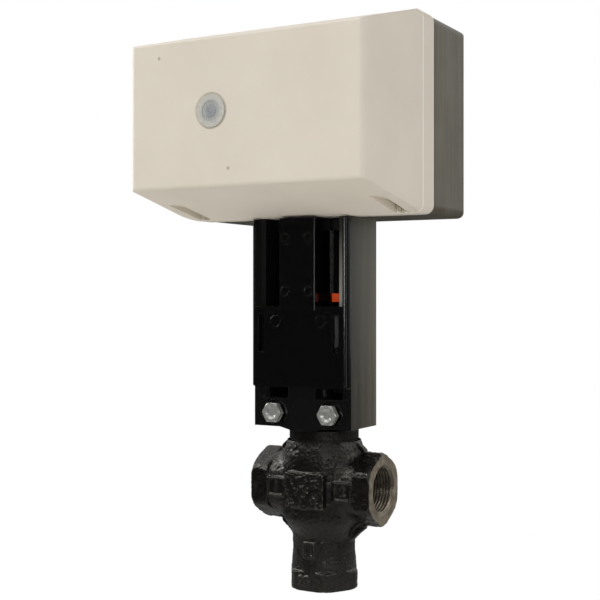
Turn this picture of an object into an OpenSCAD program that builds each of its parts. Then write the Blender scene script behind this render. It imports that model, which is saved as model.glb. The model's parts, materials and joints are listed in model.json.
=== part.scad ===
// Three-way control valve with pipe-threaded ports and an electric linear actuator.
// The origin is the centre of the lower port's face. +Z runs up the stem, and the front looks to -Y.

/* [Pipe ports] */
// Face to face length over the two side ports
face_to_face = 93; // [91:0.5:97]
// Height of the side ports' axis above the face of the lower port
port_axis_z = 70.5; // [69.5:0.5:73]
// Width across flats of the port hexagons
port_flats = 46; // [45:0.5:47]
// Diameter to which the hexagons' corners are turned
port_round_d = 51.2; // [50:0.2:52.4]
// Length of each port hexagon
port_hex_len = 13; // [12:0.5:14]
// Drilled diameter of the pipe threads
port_bore_d = 30.3; // [29.5:0.1:30.8]
// Depth of the pipe threads
port_bore_len = 17; // [15.5:0.5:17.5]
// Diameter of the chamfer at the mouth of each port
port_mouth_d = 34.2; // [33.4:0.2:35]
// Diameter of the straight flow passages behind the threads
passage_d = 24; // [23:0.5:24.5]

/* [Valve body] */
// Diameter of the barrel round the seats
barrel_d = 57; // [56:0.5:59]
// Outer diameter of the side branches
branch_d = 45; // [44:0.5:45.6]
// Outer diameter of the lower branch
lower_branch_d = 43; // [42:0.5:44.5]
// Height of the body's top face above the side ports' axis
body_rise = 32.7; // [32.3:0.1:34]
// Thickness of the stiffening ribs between the branches
rib_t = 5; // [4:0.5:7]
// Bore of the body for the bonnet
bonnet_bore_d = 40; // [39:0.5:41]
// Diameter of the slanted passages to the seats
slant_d = 15; // [13:0.5:15.5]
// Width of the raised pad on the middle of the front
pad_w = 30; // [27:0.5:31]
// Height of the raised pad on the middle of the front
pad_h = 24.4; // [22:0.2:26]

/* [Valve trim] */
// Travel of the stem
stroke = 16.5; // [15.5:0.1:17]
// Bore of both seat rings
seat_bore_d = 24; // [23:0.5:24.5]
// Height of each seat ring
seat_h = 6; // [5:0.5:6.5]
// Thickness of the plug's disc
disc_h = 14; // [13:0.5:14.5]
// Diameter of the plug's disc
disc_d = 27; // [26:0.5:28]
// Wall of the plug's skirts
skirt_wall = 1.8; // [1.5:0.1:2.2]
// Diameter of the stem
stem_d = 12; // [11:0.5:12.5]

/* [Bonnet] */
// Diameter of the bonnet's collar
collar_d = 49; // [48:0.5:51]
// Height of the bonnet's collar
collar_h = 7.3; // [6.5:0.1:8]
// Diameter of the neck that the actuator clamps
neck_d = 33; // [32:0.2:33.4]
// Length of the neck
neck_len = 22.5; // [21:0.5:24]
// Thickness of the gasket under the collar
gasket_t = 1; // [0.8:0.1:1.5]
// Diameter of the packing box
packing_d = 20; // [19:0.5:21]
// Number of packing rings
packing_rings_n = 5; // [4:1:5]
// Height of one packing ring
packing_ring_h = 2.4; // [2.2:0.1:2.5]
// Diameter of the gland nut's thread
gland_d = 24; // [23:0.5:25]

/* [Yoke] */
// Width of the column
column_w = 75.4; // [74:0.2:78]
// Distance of the column's bare front from the stem's axis
column_front = 32.3; // [31.5:0.1:34]
// Distance of the column's rear edges from the stem's axis
column_rear = 6.6; // [6:0.1:9]
// Radius of the round back of the column
back_r = 34; // [33.4:0.1:35]
// Radius of the round bay inside the column
bay_r = 28.8; // [28:0.1:29.2]
// Height of the column from the bonnet's collar to the housing
column_h = 147; // [145:0.5:152]
// Height of the stepped foot at the column's middle
foot_step = 2.6; // [2:0.1:3.4]
// Height of the two openings above the clamp
notch_h = 8; // [7:0.5:9.5]
// Half-width of the middle tongue between those openings
tongue_w = 22; // [20:0.5:24]
// Distance between the two clamp bolts
bolt_spacing = 43; // [42.4:0.2:44]
// Diameter of the clamp bolts
bolt_d = 8; // [7.5:0.1:8.2]
// Width across flats of the clamp bolts' heads
bolt_flats = 13; // [12.5:0.1:13.5]

/* [Column cover] */
// Thickness of the column cover in front of the column
cover_plate_t = 5.7; // [5:0.1:7]
// Radius of the column cover's upright front edges
cover_edge_r = 4.5; // [3.5:0.1:5]
// Wall thickness of the column cover
plate_wall = 2.5; // [2:0.1:3]
// Height of the closed lower panel
panel_h = 55; // [53:0.5:56]
// Width of the middle spine between the windows
spine_w = 28.2; // [27:0.2:29]
// Distance by which the spine stands in front of the cover
spine_proud = 1.5; // [1:0.1:2]
// Depth of the window channels beside the spine
channel_depth = 20; // [18:0.5:20.5]
// Width of the cover left outside each window
window_rim = 3.5; // [3.1:0.1:5.1]
// Distance of the upright slots' middle from the column's side
slot_edge = 8.5; // [7.7:0.1:8.7]
// Width of the upright slots
slot_w = 4.2; // [3.5:0.1:4.6]
// Length of the upright slots
slot_len = 25; // [22:0.5:27]

/* [Actuator casing] */
// Width of the cover's rim
rim_w = 181.2; // [180:0.2:186]
// Height of the cover's rim
rim_h = 132.2; // [131:0.2:136]
// Depth of the cover's straight rim
rim_len = 17.5; // [16.5:0.5:19]
// Distance by which each side of the cover draws in towards its flat front
side_draw = 4.6; // [4.1:0.1:6.6]
// Height of the cover's flat front
front_h = 95; // [93:0.5:98]
// Distance of the front's lower edge above the rim's lower edge
front_drop = 15.9; // [15:0.1:17]
// Depth of the cover's sloping part
slope_len = 77; // [75:0.5:80]
// Radius of the upright edges of the cover's flat front
front_edge_r = 3.6; // [3.2:0.1:5]
// Radius of the level edges of the cover's flat front
level_edge_r = 2; // [1.5:0.1:3]
// Wall thickness of the cover
cover_wall = 3; // [2.6:0.1:3.2]
// Depth of the cast housing
housing_depth = 55.5; // [54:0.5:58]
// Wall thickness of the cast housing
housing_wall = 4.5; // [4:0.1:5]
// Distance of the housing's front edge from the stem's axis
housing_front = 15; // [14.6:0.1:15.6]
// Distance of each screw groove's middle from the rim's side
groove_side = 14.1; // [13.6:0.1:15.6]
// Width of each screw groove
groove_w = 9.4; // [9:0.1:10]
// Height of each screw groove above the rim's lower edge
groove_h = 8.5; // [8:0.1:9]
// Diameter of the cover screws
cover_screw_d = 4; // [3.5:0.1:4.2]
// Diameter of the translucent plug in the front
plug_cap_d = 21; // [19:0.5:23]

/* [Drive] */
// Distance between the stem's axis and the space in whose middle the motor stands
motor_space_x = 7.3; // [6.3:0.1:8.3]
// Height of the hand shaft above the housing's underside
hand_rise = 63.5; // [62:0.5:65]
// Thickness of the two gear plates
gear_plate_t = 2.5; // [2:0.1:3]
// Diameter of the motor's can
motor_d = 50; // [46:0.5:50.5]
// Length of the motor's can
motor_len = 28; // [25:0.5:32]
// Diameter of the round drive spindle
spindle_d = 14; // [13.4:0.1:14.2]
// Diameter of the coupling between stem and spindle
coupling_d = 26; // [25:0.5:27]
// Length of the coupling
coupling_len = 38; // [36:0.5:40]

/* [Hidden] */
$fn = 64;
// Overrun of every cut past the face that it opens
over = 1;
// Radial clearance of running fits
run_gap = 0.05;
// Clearance between soft pieces and their neighbours
soft_gap = 0.3;
// Pressure angle of all teeth
tooth_angle = 25;
// Height of a tooth above and below the pitch line, in modules
addendum_share = 0.8;
dedendum_share = 1.1;
// Play between meshed teeth, in modules
play_share = 0.06;

// Levels up the valve
body_top_z = port_axis_z + body_rise;
collar_z = body_top_z + gasket_t;
clamp_seat_z = collar_z + collar_h;
neck_top_z = clamp_seat_z + neck_len;
foot_z = clamp_seat_z + foot_step;
sill_z = neck_top_z + notch_h;
window_z = sill_z + panel_h;
housing_z = clamp_seat_z + column_h;

// Levels of the trim inside the body
seat_drop = 28.5;
lower_seat_top_z = port_axis_z - seat_drop;
upper_seat_z = lower_seat_top_z + disc_h + stroke;
upper_seat_top_z = upper_seat_z + seat_h;
skirt_len = stroke + 0.25 * disc_h;
seat_r = seat_bore_d / 2;
seat_wall = 3;
chamber_step = 0.5;
upper_seat_step = 2;
lower_ring_r = seat_r + seat_wall;
chamber_r = lower_ring_r + chamber_step;
upper_ring_r = chamber_r + upper_seat_step;
bonnet_insert = 5.7;

// Depths of the casing, along Y
seam = 1;
rim_back_y = -housing_front - seam;
rim_front_y = rim_back_y - rim_len;
front_y = rim_front_y - slope_len;
housing_back_y = housing_depth - housing_front;
casing_inset = 0.4;
housing_w = rim_w - 2 * casing_inset;
housing_h = rim_h - 2 * casing_inset;
rim_z = housing_z - casing_inset;
inner_x = housing_w / 2 - housing_wall;
casing_corner_r = 6;
bay_floor_y = housing_back_y - housing_wall;
column_top_z = rim_z - soft_gap;

// Gear train: teeth and modules, from the rack to the motor
rack_pinion_n = 12;
rack_module = 1.5;
output_n = 36;
hand_pinion_n = 12;
output_module = 1;
hand_wheel_n = 48;
mid_pinion_n = 12;
hand_module = 0.8;
mid_wheel_n = 60;
motor_pinion_n = 12;
motor_module = 0.6;

// Gear centres in the XZ plane, each meshed with the next
rack_pitch_r = rack_module * rack_pinion_n / 2;
output_r = output_module * output_n / 2;
hand_pinion_r = output_module * hand_pinion_n / 2;
hand_wheel_r = hand_module * hand_wheel_n / 2;
mid_pinion_r = hand_module * mid_pinion_n / 2;
mid_wheel_r = motor_module * mid_wheel_n / 2;
motor_pinion_r = motor_module * motor_pinion_n / 2;
rack_line_x = -3 * rack_module;
output_x = rack_line_x - rack_pitch_r;
hand_x = (inner_x + motor_space_x) / 2 - hand_wheel_r - mid_pinion_r;
hand_c = [-hand_x, housing_z + hand_rise];
output_hand = output_r + hand_pinion_r;
output_c = [output_x, hand_c[1] - sqrt(output_hand * output_hand - pow(hand_x + output_x, 2))];
mid_c = hand_c - [hand_wheel_r + mid_pinion_r, 0];
motor_c = mid_c + [0, mid_wheel_r + motor_pinion_r];
output_angle = atan2(hand_c[1] - output_c[1], hand_c[0] - output_c[0]);

// Depths of the gear train, along Y
rack_t = 12;
rear_plate_y = 14;
wheel_t = 5;
wheel_gap = 1.5;
output_wheel_y = -rack_t / 2 - 2 * wheel_gap;
hand_wheel_y = output_wheel_y - wheel_t - 2.5 * wheel_gap;
mid_wheel_y = hand_wheel_y - wheel_t - wheel_gap;
front_plate_y = mid_wheel_y - wheel_t - wheel_gap;
front_plate_front_y = front_plate_y - gear_plate_t;
plate_margin = 6;

// Solids between two levels along an axis
module rod_x(x0, x1, r) translate([x0, 0, 0]) rotate([0, 90, 0]) cylinder(h = x1 - x0, r = r);
module rod_y(y0, y1, r) translate([0, y1, 0]) rotate([90, 0, 0]) cylinder(h = y1 - y0, r = r);
module rod_z(z0, z1, r) translate([0, 0, z0]) cylinder(h = z1 - z0, r = r);
module box(low, high) translate(low) cube(high - low);
module along_x(x0, x1) translate([x0, 0, 0]) rotate([90, 0, 90]) linear_extrude(x1 - x0) children();
module along_y(y0, y1) translate([0, y1, 0]) rotate([90, 0, 0]) linear_extrude(y1 - y0) children();
module along_z(z0, z1) translate([0, 0, z0]) linear_extrude(z1 - z0) children();
module place(c) translate([c[0], 0, c[1]]) children();
module both_x() for (side = [0, 1]) mirror([side, 0, 0]) children();
module hexagon(flats) rotate(30) circle(d = flats / cos(30), $fn = 6);
module ring_z(z0, z1, outer, inner) {
    difference() {
        rod_z(z0, z1, outer);
        rod_z(z0 - over, z1 + over, inner);
    }
}

// A convex outline whose corners are rounded, each by its own radius
function unit(v) = v / norm(v);
module soft_polygon(points, radii) {
    n = len(points);
    to_last = [for (i = [0:n - 1]) unit(points[(i + n - 1) % n] - points[i])];
    to_next = [for (i = [0:n - 1]) unit(points[(i + 1) % n] - points[i])];
    half = [for (i = [0:n - 1]) acos(to_last[i] * to_next[i]) / 2];
    polygon([for (i = [0:n - 1]) each radii[i] == 0 ? [points[i]] : [
        points[i] + to_last[i] * radii[i] / tan(half[i]),
        points[i] + to_next[i] * radii[i] / tan(half[i])]]);
    for (i = [0:n - 1]) if (radii[i] > 0)
        translate(points[i] + unit(to_last[i] + to_next[i]) * radii[i] / sin(half[i])) circle(radii[i]);
}
module soft_rect(w, h, r) {
    soft_polygon([[-w, -h] / 2, [w, -h] / 2, [w, h] / 2, [-w, h] / 2], [r, r, r, r]);
}

// Involute gear outline with a tooth pointing at the given angle
function involute(a) = tan(a) * 180 / PI - a;
function tooth_half(rho, pitch_r, n) =
    let (base_r = pitch_r * cos(tooth_angle), a = rho > base_r ? acos(base_r / rho) : 0)
    (1 - 2 * play_share / PI) * 90 / n + involute(tooth_angle) - involute(a);
function polar(r, a) = [r * cos(a), r * sin(a)];
module gear_outline(n, module_size, turn) {
    pitch_r = n * module_size / 2;
    root_r = pitch_r - dedendum_share * module_size;
    tip_r = pitch_r + addendum_share * module_size;
    levels = [root_r, pitch_r - 0.5 * module_size, pitch_r, pitch_r + 0.45 * module_size, tip_r];
    polygon([for (k = [0:n - 1]) each [
        for (i = [0:len(levels) - 1])
            polar(levels[i], turn + 360 * k / n - tooth_half(levels[i], pitch_r, n)),
        for (i = [len(levels) - 1:-1:0])
            polar(levels[i], turn + 360 * k / n + tooth_half(levels[i], pitch_r, n))]]);
}

// Valve body
module port_form(length) {
    intersection() {
        along_z(0, port_hex_len) rotate(30) hexagon(port_flats);
        union() {
            translate([0, 0, port_chamfer]) cylinder(h = length, d = port_round_d);
            cylinder(h = port_chamfer, d1 = port_round_d - 2 * port_chamfer, d2 = port_round_d);
        }
    }
}
port_chamfer = 1.4;
module port_bore() {
    translate([0, 0, -over]) cylinder(h = port_bore_len + over, d = port_bore_d);
    mouth = (port_mouth_d - port_bore_d) / 2;
    translate([0, 0, -over]) cylinder(h = mouth + over, d1 = port_mouth_d + 2 * over, d2 = port_bore_d);
}
module side_ports() for (side = [0, 180]) rotate([0, 0, side])
    translate([face_to_face / 2, 0, port_axis_z]) rotate([0, -90, 0]) children();

barrel_drop = 36;
barrel_step = 2;
barrel_lip_r = 4;
shoulder_drop = 22;
rib_drop = 36.5;
rib_reach = 35.4;
rib_inset = 1;
left_slant_x = 31.3;
right_slant_x = 29.8;
barrel_low_z = port_axis_z - barrel_drop;
barrel_neck_r = lower_branch_d / 2 - barrel_step;
barrel_shoulder_z = port_axis_z - shoulder_drop;
rib_foot_z = port_axis_z - rib_drop;
pad_front = 30.2;
side_pad_front = 24.2;
side_pad_x = 19.5;
side_pad_w = 13.5;
side_pad_h = 13;
lower_pad_front = 23.3;
lower_pad_w = 9;
lower_pad_h = 10.3;
lower_pad_z = 28.4;
module barrel() rotate_extrude() soft_polygon(
    [[0, barrel_low_z], [barrel_neck_r, barrel_low_z], [barrel_d / 2, barrel_shoulder_z],
        [barrel_d / 2, body_top_z], [0, body_top_z]], [0, 1.5 * barrel_lip_r, 3 * barrel_lip_r, barrel_lip_r, 0]);
module body_rib() rotate([90, 0, 0]) translate([0, 0, -rib_t / 2]) linear_extrude(rib_t) {
    polygon([[0, port_axis_z], [rib_reach, port_axis_z], [rib_reach, port_axis_z - port_round_d / 2],
        [lower_branch_d / 2 + rib_t / 3, rib_foot_z], [0, rib_foot_z]]);
    polygon([[0, port_axis_z], [rib_reach, port_axis_z],
        [rib_reach, port_axis_z + port_round_d / 2 - rib_inset / 2],
        [collar_d / 2 + rib_t, body_top_z - 2 * rib_inset],
        [collar_d / 2, body_top_z - rib_inset], [0, body_top_z - rib_inset]]);
}
module front_pad(x, z, w, h, front) along_y(-front, 0) translate([x, z]) soft_rect(w, h, rib_t / 4);
module slanted(from, to) {
    run = to - from;
    translate([from[0], 0, from[1]]) rotate([0, atan2(run[0], run[1]), 0]) {
        cylinder(h = norm(run), d = slant_d);
        sphere(d = slant_d);
    }
}
module valve_body() color([0.16, 0.155, 0.15]) difference() {
    union() {
        port_form(port_hex_len);
        side_ports() port_form(port_hex_len);
        rod_z(port_hex_len - over, port_axis_z, lower_branch_d / 2);
        translate([0, 0, port_axis_z])
            rod_x(port_hex_len - face_to_face / 2 - over, face_to_face / 2 - port_hex_len + over, branch_d / 2);
        barrel();
        both_x() body_rib();
        front_pad(0, port_axis_z, pad_w, pad_h, pad_front);
        both_x() front_pad(side_pad_x + side_pad_w / 2, port_axis_z, side_pad_w, side_pad_h, side_pad_front);
        front_pad(0, lower_pad_z, lower_pad_w, lower_pad_h, lower_pad_front);
    }
    port_bore();
    side_ports() port_bore();
    rod_z(port_bore_len - over, lower_seat_top_z, passage_d / 2);
    rod_z(lower_seat_top_z - seat_h, lower_seat_top_z + over, lower_ring_r + run_gap);
    rod_z(lower_seat_top_z, upper_seat_z + over, chamber_r);
    rod_z(upper_seat_z, upper_seat_top_z + over, upper_ring_r + run_gap);
    rod_z(upper_seat_top_z, body_top_z + over, bonnet_bore_d / 2);
    side_ports() translate([0, 0, port_bore_len - over])
        cylinder(h = face_to_face / 2 - port_bore_len - bonnet_bore_d / 2, d = passage_d);
    slanted([-left_slant_x, port_axis_z], [-chamber_r, (upper_seat_top_z + body_top_z - slant_d / 2) / 2]);
    slanted([right_slant_x, port_axis_z], [0.68 * chamber_r, port_axis_z - seat_r]);
}

// Valve trim
module seat_ring(z, r) color([0.72, 0.66, 0.5]) difference() {
    rod_z(z, z + seat_h, r);
    rod_z(z - over, z + seat_h + over, seat_r);
}
module lower_seat_ring() seat_ring(lower_seat_top_z - seat_h, lower_ring_r);
module upper_seat_ring() seat_ring(upper_seat_z, upper_ring_r);

disc_low_z = lower_seat_top_z + soft_gap;
disc_high_z = disc_low_z + disc_h - 2 * soft_gap;
skirt_r = seat_r - run_gap;
window_n = 4;
spigot_r = 5 * stem_d / 12;
nut_h = 7;
module skirt(z0, z1, window_z0, window_z1) difference() {
    ring_z(z0, z1, skirt_r, skirt_r - skirt_wall);
    for (k = [0:window_n - 1]) rotate([0, 0, 360 * (k + 0.5) / window_n])
        box([0, -skirt_r / 3, window_z0], [seat_r + over, skirt_r / 3, window_z1]);
}
module valve_plug() color([0.75, 0.74, 0.7]) {
    window_inset = seat_h / 3;
    difference() {
        union() {
            edge = (disc_d - seat_bore_d) / 2;
            rod_z(disc_low_z + edge, disc_high_z - edge, disc_d / 2);
            translate([0, 0, disc_low_z]) cylinder(h = edge, r1 = skirt_r, r2 = disc_d / 2);
            translate([0, 0, disc_high_z - edge]) cylinder(h = edge, r1 = disc_d / 2, r2 = skirt_r);
            skirt(disc_low_z - skirt_len, disc_low_z, disc_low_z - skirt_len + window_inset,
                disc_low_z - window_inset);
            skirt(disc_high_z, disc_high_z + skirt_len, disc_high_z + window_inset,
                disc_high_z + skirt_len - window_inset);
        }
        rod_z(disc_low_z - over, disc_high_z + over, spigot_r + run_gap);
    }
}
module plug_nut() color([0.7, 0.7, 0.68]) difference() {
    along_z(disc_low_z - nut_h, disc_low_z) hexagon(2.8 * stem_d / 2);
    rod_z(disc_low_z - nut_h - over, disc_low_z + over, spigot_r + run_gap);
}

// Levels of the coupling above the bonnet
pointer_h = 5.8;
pointer_gap = 3.2;
coupling_top_z = window_z + pointer_gap + pointer_h;
coupling_z = coupling_top_z - coupling_len;
stem_top_z = coupling_z + 0.5 * coupling_len;
stem_nut_h = 10;
module valve_stem() color([0.78, 0.78, 0.76]) {
    tip = stem_d / 8;
    rod_z(disc_low_z - nut_h - tip, disc_high_z, spigot_r);
    rod_z(disc_high_z, stem_top_z - tip, stem_d / 2);
    translate([0, 0, stem_top_z - tip]) cylinder(h = tip, d1 = stem_d, d2 = stem_d - 2 * tip);
}

// Bonnet with its packing
packing_drop = 1.5;
packing_z = clamp_seat_z - packing_drop;
packing_top_z = packing_z + packing_rings_n * packing_ring_h;
gland_lip = 0.6;
module bonnet() color([0.17, 0.165, 0.16]) difference() {
    union() {
        rod_z(body_top_z - bonnet_insert, collar_z + over, bonnet_bore_d / 2 - run_gap);
        rotate_extrude() soft_polygon([[0, collar_z], [collar_d / 2, collar_z],
            [collar_d / 2, clamp_seat_z], [0, clamp_seat_z]], [0, gland_lip, 2 * gland_lip, 0]);
        rod_z(clamp_seat_z - over, neck_top_z, neck_d / 2);
    }
    rod_z(body_top_z - bonnet_insert - over, packing_z + over, stem_d / 2 + run_gap);
    rod_z(packing_z, packing_top_z + over, packing_d / 2);
    rod_z(packing_top_z, neck_top_z + over, gland_d / 2);
}
module bonnet_gasket() color([0.5, 0.32, 0.22])
    ring_z(body_top_z, collar_z, collar_d / 2 - gland_lip, bonnet_bore_d / 2);
module packing_rings() color([0.9, 0.9, 0.87]) for (k = [0:packing_rings_n - 1]) {
    z = packing_z + k * packing_ring_h;
    vee = packing_ring_h / 3;
    inner = stem_d / 2 + soft_gap / 2;
    outer = packing_d / 2 - run_gap;
    rotate_extrude() polygon([[inner, z], [(inner + outer) / 2, z + vee], [outer, z],
        [outer, z + 2 * vee], [(inner + outer) / 2, z + 3 * vee], [inner, z + 2 * vee]]);
}
module gland_nut() color([0.72, 0.6, 0.35]) difference() {
    union() {
        rod_z(packing_top_z, neck_top_z, gland_d / 2 - run_gap);
        rod_z(neck_top_z, neck_top_z + gland_lip, gland_d / 2 + gland_lip);
    }
    rod_z(packing_top_z - over, neck_top_z + over, stem_d / 2 + run_gap);
    for (side = [0, 180]) rotate([0, 0, side])
        box([stem_d / 2 + gland_lip, -2 * gland_lip, neck_top_z - 4 * gland_lip],
            [gland_d, 2 * gland_lip, neck_top_z + over]);
}

// Coupling between the stem and the drive spindle
module hex_nut_z(z, h, flats, bore_r) difference() {
    intersection() {
        along_z(z, z + h) hexagon(flats);
        union() {
            bevel = flats / 12;
            translate([0, 0, z]) cylinder(h = bevel, d1 = flats, d2 = flats + 4 * bevel);
            rod_z(z + bevel, z + h - bevel, flats);
            translate([0, 0, z + h - bevel]) cylinder(h = bevel, d1 = flats + 4 * bevel, d2 = flats);
        }
    }
    rod_z(z - over, z + h + over, bore_r);
}
module stem_lock_nut() color([0.74, 0.74, 0.72])
    hex_nut_z(coupling_z - stem_nut_h, stem_nut_h, 1.6 * stem_d, stem_d / 2 + run_gap);
pin_r = coupling_d / 12;
pin_z = coupling_top_z - 0.2 * coupling_len;
spindle_low_z = stem_top_z + pin_r;
module stem_coupling() color([0.66, 0.66, 0.64]) difference() {
    rotate_extrude() soft_polygon([[0, coupling_z], [coupling_d / 2, coupling_z],
        [coupling_d / 2, coupling_top_z], [0, coupling_top_z]], [0, pin_r, pin_r / 2, 0]);
    rod_z(coupling_z - over, stem_top_z + run_gap, stem_d / 2 + run_gap);
    rod_z(stem_top_z, coupling_top_z + over, spindle_d / 2 + run_gap);
    translate([0, 0, pin_z]) rod_y(-coupling_d, coupling_d, pin_r + run_gap);
    both_x() box([coupling_d / 2 - pin_r / 2, -coupling_d, coupling_z - over],
        [coupling_d, coupling_d, coupling_z + coupling_len / 4]);
}
module coupling_pin() color([0.6, 0.6, 0.6]) translate([0, 0, pin_z])
    rod_y(-coupling_d / 2 + pin_r / 4, coupling_d / 2 - pin_r / 4, pin_r);

// Orange pointer: a split ring round the coupling with an arm into the right-hand window
flag_w = 9.2;
flag_gap = 0.4;
flag_x = bay_r - flag_gap - flag_w / 2;
flag_front = 25.5;
flag_t = 4;
ring_wall = 2.2;
module position_pointer() color([1, 0.36, 0.06]) {
    z0 = coupling_top_z - pointer_h;
    difference() {
        union() {
            rod_z(z0, coupling_top_z, coupling_d / 2 + ring_wall);
            along_z(z0 + pointer_h / 5, coupling_top_z - pointer_h / 5) polygon([
                [coupling_d / 3, -coupling_d / 2], [flag_x - flag_t / 2, flag_t - flag_front],
                [flag_x + flag_t / 2, flag_t - flag_front], [coupling_d / 2 + ring_wall / 2, -ring_wall]]);
            along_z(z0, coupling_top_z) translate([flag_x, flag_t / 2 - flag_front])
                soft_rect(flag_w, flag_t, flag_t / 5);
        }
        rod_z(z0 - over, coupling_top_z + over, coupling_d / 2 + run_gap);
        box([-ring_wall, 0, z0 - over], [ring_wall, coupling_d, coupling_top_z + over]);
    }
}

// Yoke: the cast column, open in front, with a half saddle for the bonnet's neck
half_w = column_w / 2;
flange_t = 8;
bolt_drop = 0.25;
bolt_z = (foot_z + neck_top_z) / 2 - bolt_drop;
bolt_x = bolt_spacing / 2;
neck_hole_r = neck_d / 2 + run_gap;
split_gap = 0.6;
notch_rim = 4.5;
notch_x = half_w - notch_rim;
notch_cut = 5;
jaw_reach = 18;
jaw_back_r = 25;
jaw_rim = 5.4;
jaw_half_w = bolt_x + bolt_d / 2 + jaw_rim;
tongue_t = 6;
bush_r = 11;
bush_play = 1;
flange_hole_r = bush_r + bush_play;
yoke_screw_d = 5;
yoke_screw_angles = [-12, 192, 50, 130];
yoke_screw_inset = 1;
module at_yoke_screws() for (a = yoke_screw_angles) rotate(a) translate([bay_r - yoke_screw_inset, 0]) children();
module column_outline() {
    translate([-half_w, -column_front]) square([column_w, column_front + column_rear]);
    intersection() {
        circle(back_r);
        translate([-back_r, 0]) square([2 * back_r, back_r]);
    }
}
module bay_outline() {
    translate([-bay_r, -column_front - over]) square([2 * bay_r, column_front + over]);
    circle(bay_r);
}
module foot_outline() polygon([[-half_w, foot_z], [-bolt_x + bolt_d / 2, foot_z],
    [-bolt_x / 3, clamp_seat_z], [bolt_x / 3, clamp_seat_z], [bolt_x - bolt_d / 2, foot_z],
    [half_w, foot_z], [half_w, neck_top_z], [-half_w, neck_top_z]]);
module yoke() color([0.3, 0.3, 0.29]) difference() {
    union() {
        difference() {
            along_z(foot_z, column_top_z) column_outline();
            along_z(foot_z - over, column_top_z - flange_t) bay_outline();
            box([-bay_r, -column_front - over, sill_z], [bay_r, -housing_front, column_top_z + over]);
            box([-notch_x, -column_front - over, neck_top_z], [notch_x, notch_cut - column_front, sill_z]);
        }
        along_y(-column_front, -split_gap / 2) foot_outline();
        box([-tongue_w / 2, -column_front, neck_top_z - over],
            [tongue_w / 2, tongue_t - column_front, sill_z - soft_gap]);
        intersection() {
            along_z(column_top_z - over, housing_z) column_outline();
            box([-half_w, split_gap - housing_front, foot_z], [half_w, back_r + over, housing_z + over]);
        }
    }
    box([-jaw_half_w - split_gap, split_gap / 2, foot_z - over],
        [jaw_half_w + split_gap, back_r + over, neck_top_z]);
    rod_z(clamp_seat_z - over, neck_top_z + over, neck_hole_r);
    both_x() translate([bolt_x, 0, bolt_z]) {
        rod_y(-column_front - over, over, bolt_d / 2 + 4 * run_gap);
        rod_y(-column_front - over, bolt_seat_y, washer_r + spot_rim);
    }
    rod_z(column_top_z - flange_t - over, housing_z + over, flange_hole_r);
    at_yoke_screws()
        rod_z(column_top_z - flange_t - over, housing_z + over, yoke_screw_d / 2 + run_gap);
}
jaw_z = foot_z + 2 * split_gap;
jaw_top_z = neck_top_z - split_gap;
module clamp_jaw() color([0.26, 0.26, 0.25]) difference() {
    along_z(jaw_z, jaw_top_z) difference() {
        union() {
            translate([-jaw_half_w, split_gap]) square([2 * jaw_half_w, jaw_reach - split_gap]);
            intersection() {
                circle(jaw_back_r);
                translate([-jaw_back_r, split_gap]) square([2 * jaw_back_r, jaw_back_r]);
            }
        }
        circle(neck_hole_r);
    }
    both_x() translate([bolt_x, 0, bolt_z]) rod_y(-over, jaw_reach + over, bolt_d / 2 + run_gap);
}

// Clamp bolts with flat washers and split lock washers
washer_t = 1;
lock_washer_t = 1.3;
washer_rim = 3.4;
washer_r = bolt_d / 2 + washer_rim;
lock_washer_r = washer_r - washer_rim / 6;
spot_depth = 2;
spot_rim = 1.5;
bolt_seat_y = spot_depth - column_front;
bolt_head_h = 4.8;
bolt_bevel = 1;
bolt_head_y = bolt_seat_y - washer_t - lock_washer_t;
module at_bolts() for (x = [-bolt_x, bolt_x]) translate([x, 0, bolt_z]) children();
module clamp_bolts() color([0.8, 0.8, 0.78]) at_bolts() {
    difference() {
        intersection() {
            along_y(bolt_head_y - bolt_head_h, bolt_head_y) rotate(30) hexagon(bolt_flats);
            translate([0, bolt_head_y, 0]) rotate([90, 0, 0]) {
                cylinder(h = bolt_head_h - bolt_bevel, r = bolt_flats);
                translate([0, 0, bolt_head_h - bolt_bevel])
                    cylinder(h = bolt_bevel, d1 = bolt_flats + 4 * bolt_bevel, d2 = bolt_flats);
            }
        }
        translate([0, bolt_head_y - bolt_head_h, 0]) rotate([-90, 0, 0]) translate([0, 0, -bolt_bevel / 2])
            cylinder(h = 1.5 * bolt_bevel, d1 = 0.86 * bolt_flats, d2 = 0.4 * bolt_flats);
    }
    rod_y(bolt_head_y, jaw_reach, bolt_d / 2);
}
module washer_y(y0, y1, outer, inner) difference() {
    rod_y(y0, y1, outer);
    rod_y(y0 - over, y1 + over, inner);
}
module clamp_washers() color([0.72, 0.72, 0.7]) at_bolts()
    washer_y(bolt_seat_y - washer_t, bolt_seat_y, washer_r, bolt_d / 2 + run_gap);
module lock_washers() color([0.6, 0.6, 0.58]) at_bolts() difference() {
    washer_y(bolt_head_y, bolt_seat_y - washer_t, lock_washer_r, bolt_d / 2 + run_gap);
    rotate([0, 20, 0]) box([0, bolt_head_y - over, -split_gap], [washer_r, bolt_seat_y, split_gap]);
}

// Column cover: glossy moulding with two window channels, a middle spine and two upright slots
cover_low_z = sill_z;
cover_high_z = column_top_z - soft_gap;
plate_front_y = -column_front - cover_plate_t;
spine_front_y = plate_front_y - spine_proud;
spine_back_y = plate_front_y + channel_depth;
plate_foot_r = 3;
leg_gap = 0.25;
slot_drop = 6;
slot_z = window_z - slot_drop - slot_len;
slot_x = half_w - slot_edge;
window_x = half_w - window_rim;
hoop_r = 3.4;
hoop_t = 0.4;
module hoop(x, z, r, y) translate([x, 0, z]) difference() {
    rod_y(y - hoop_t, y + hoop_t, r);
    rod_y(y - 2 * hoop_t, y + 2 * hoop_t, r - 2 * hoop_t);
}
module plate_outline() intersection() {
    soft_polygon([[-half_w, plate_front_y], [half_w, plate_front_y], [half_w, 0], [-half_w, 0]],
        [cover_edge_r, cover_edge_r, 0, 0]);
    translate([-half_w, plate_front_y]) square([column_w, cover_plate_t - leg_gap]);
}
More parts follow.
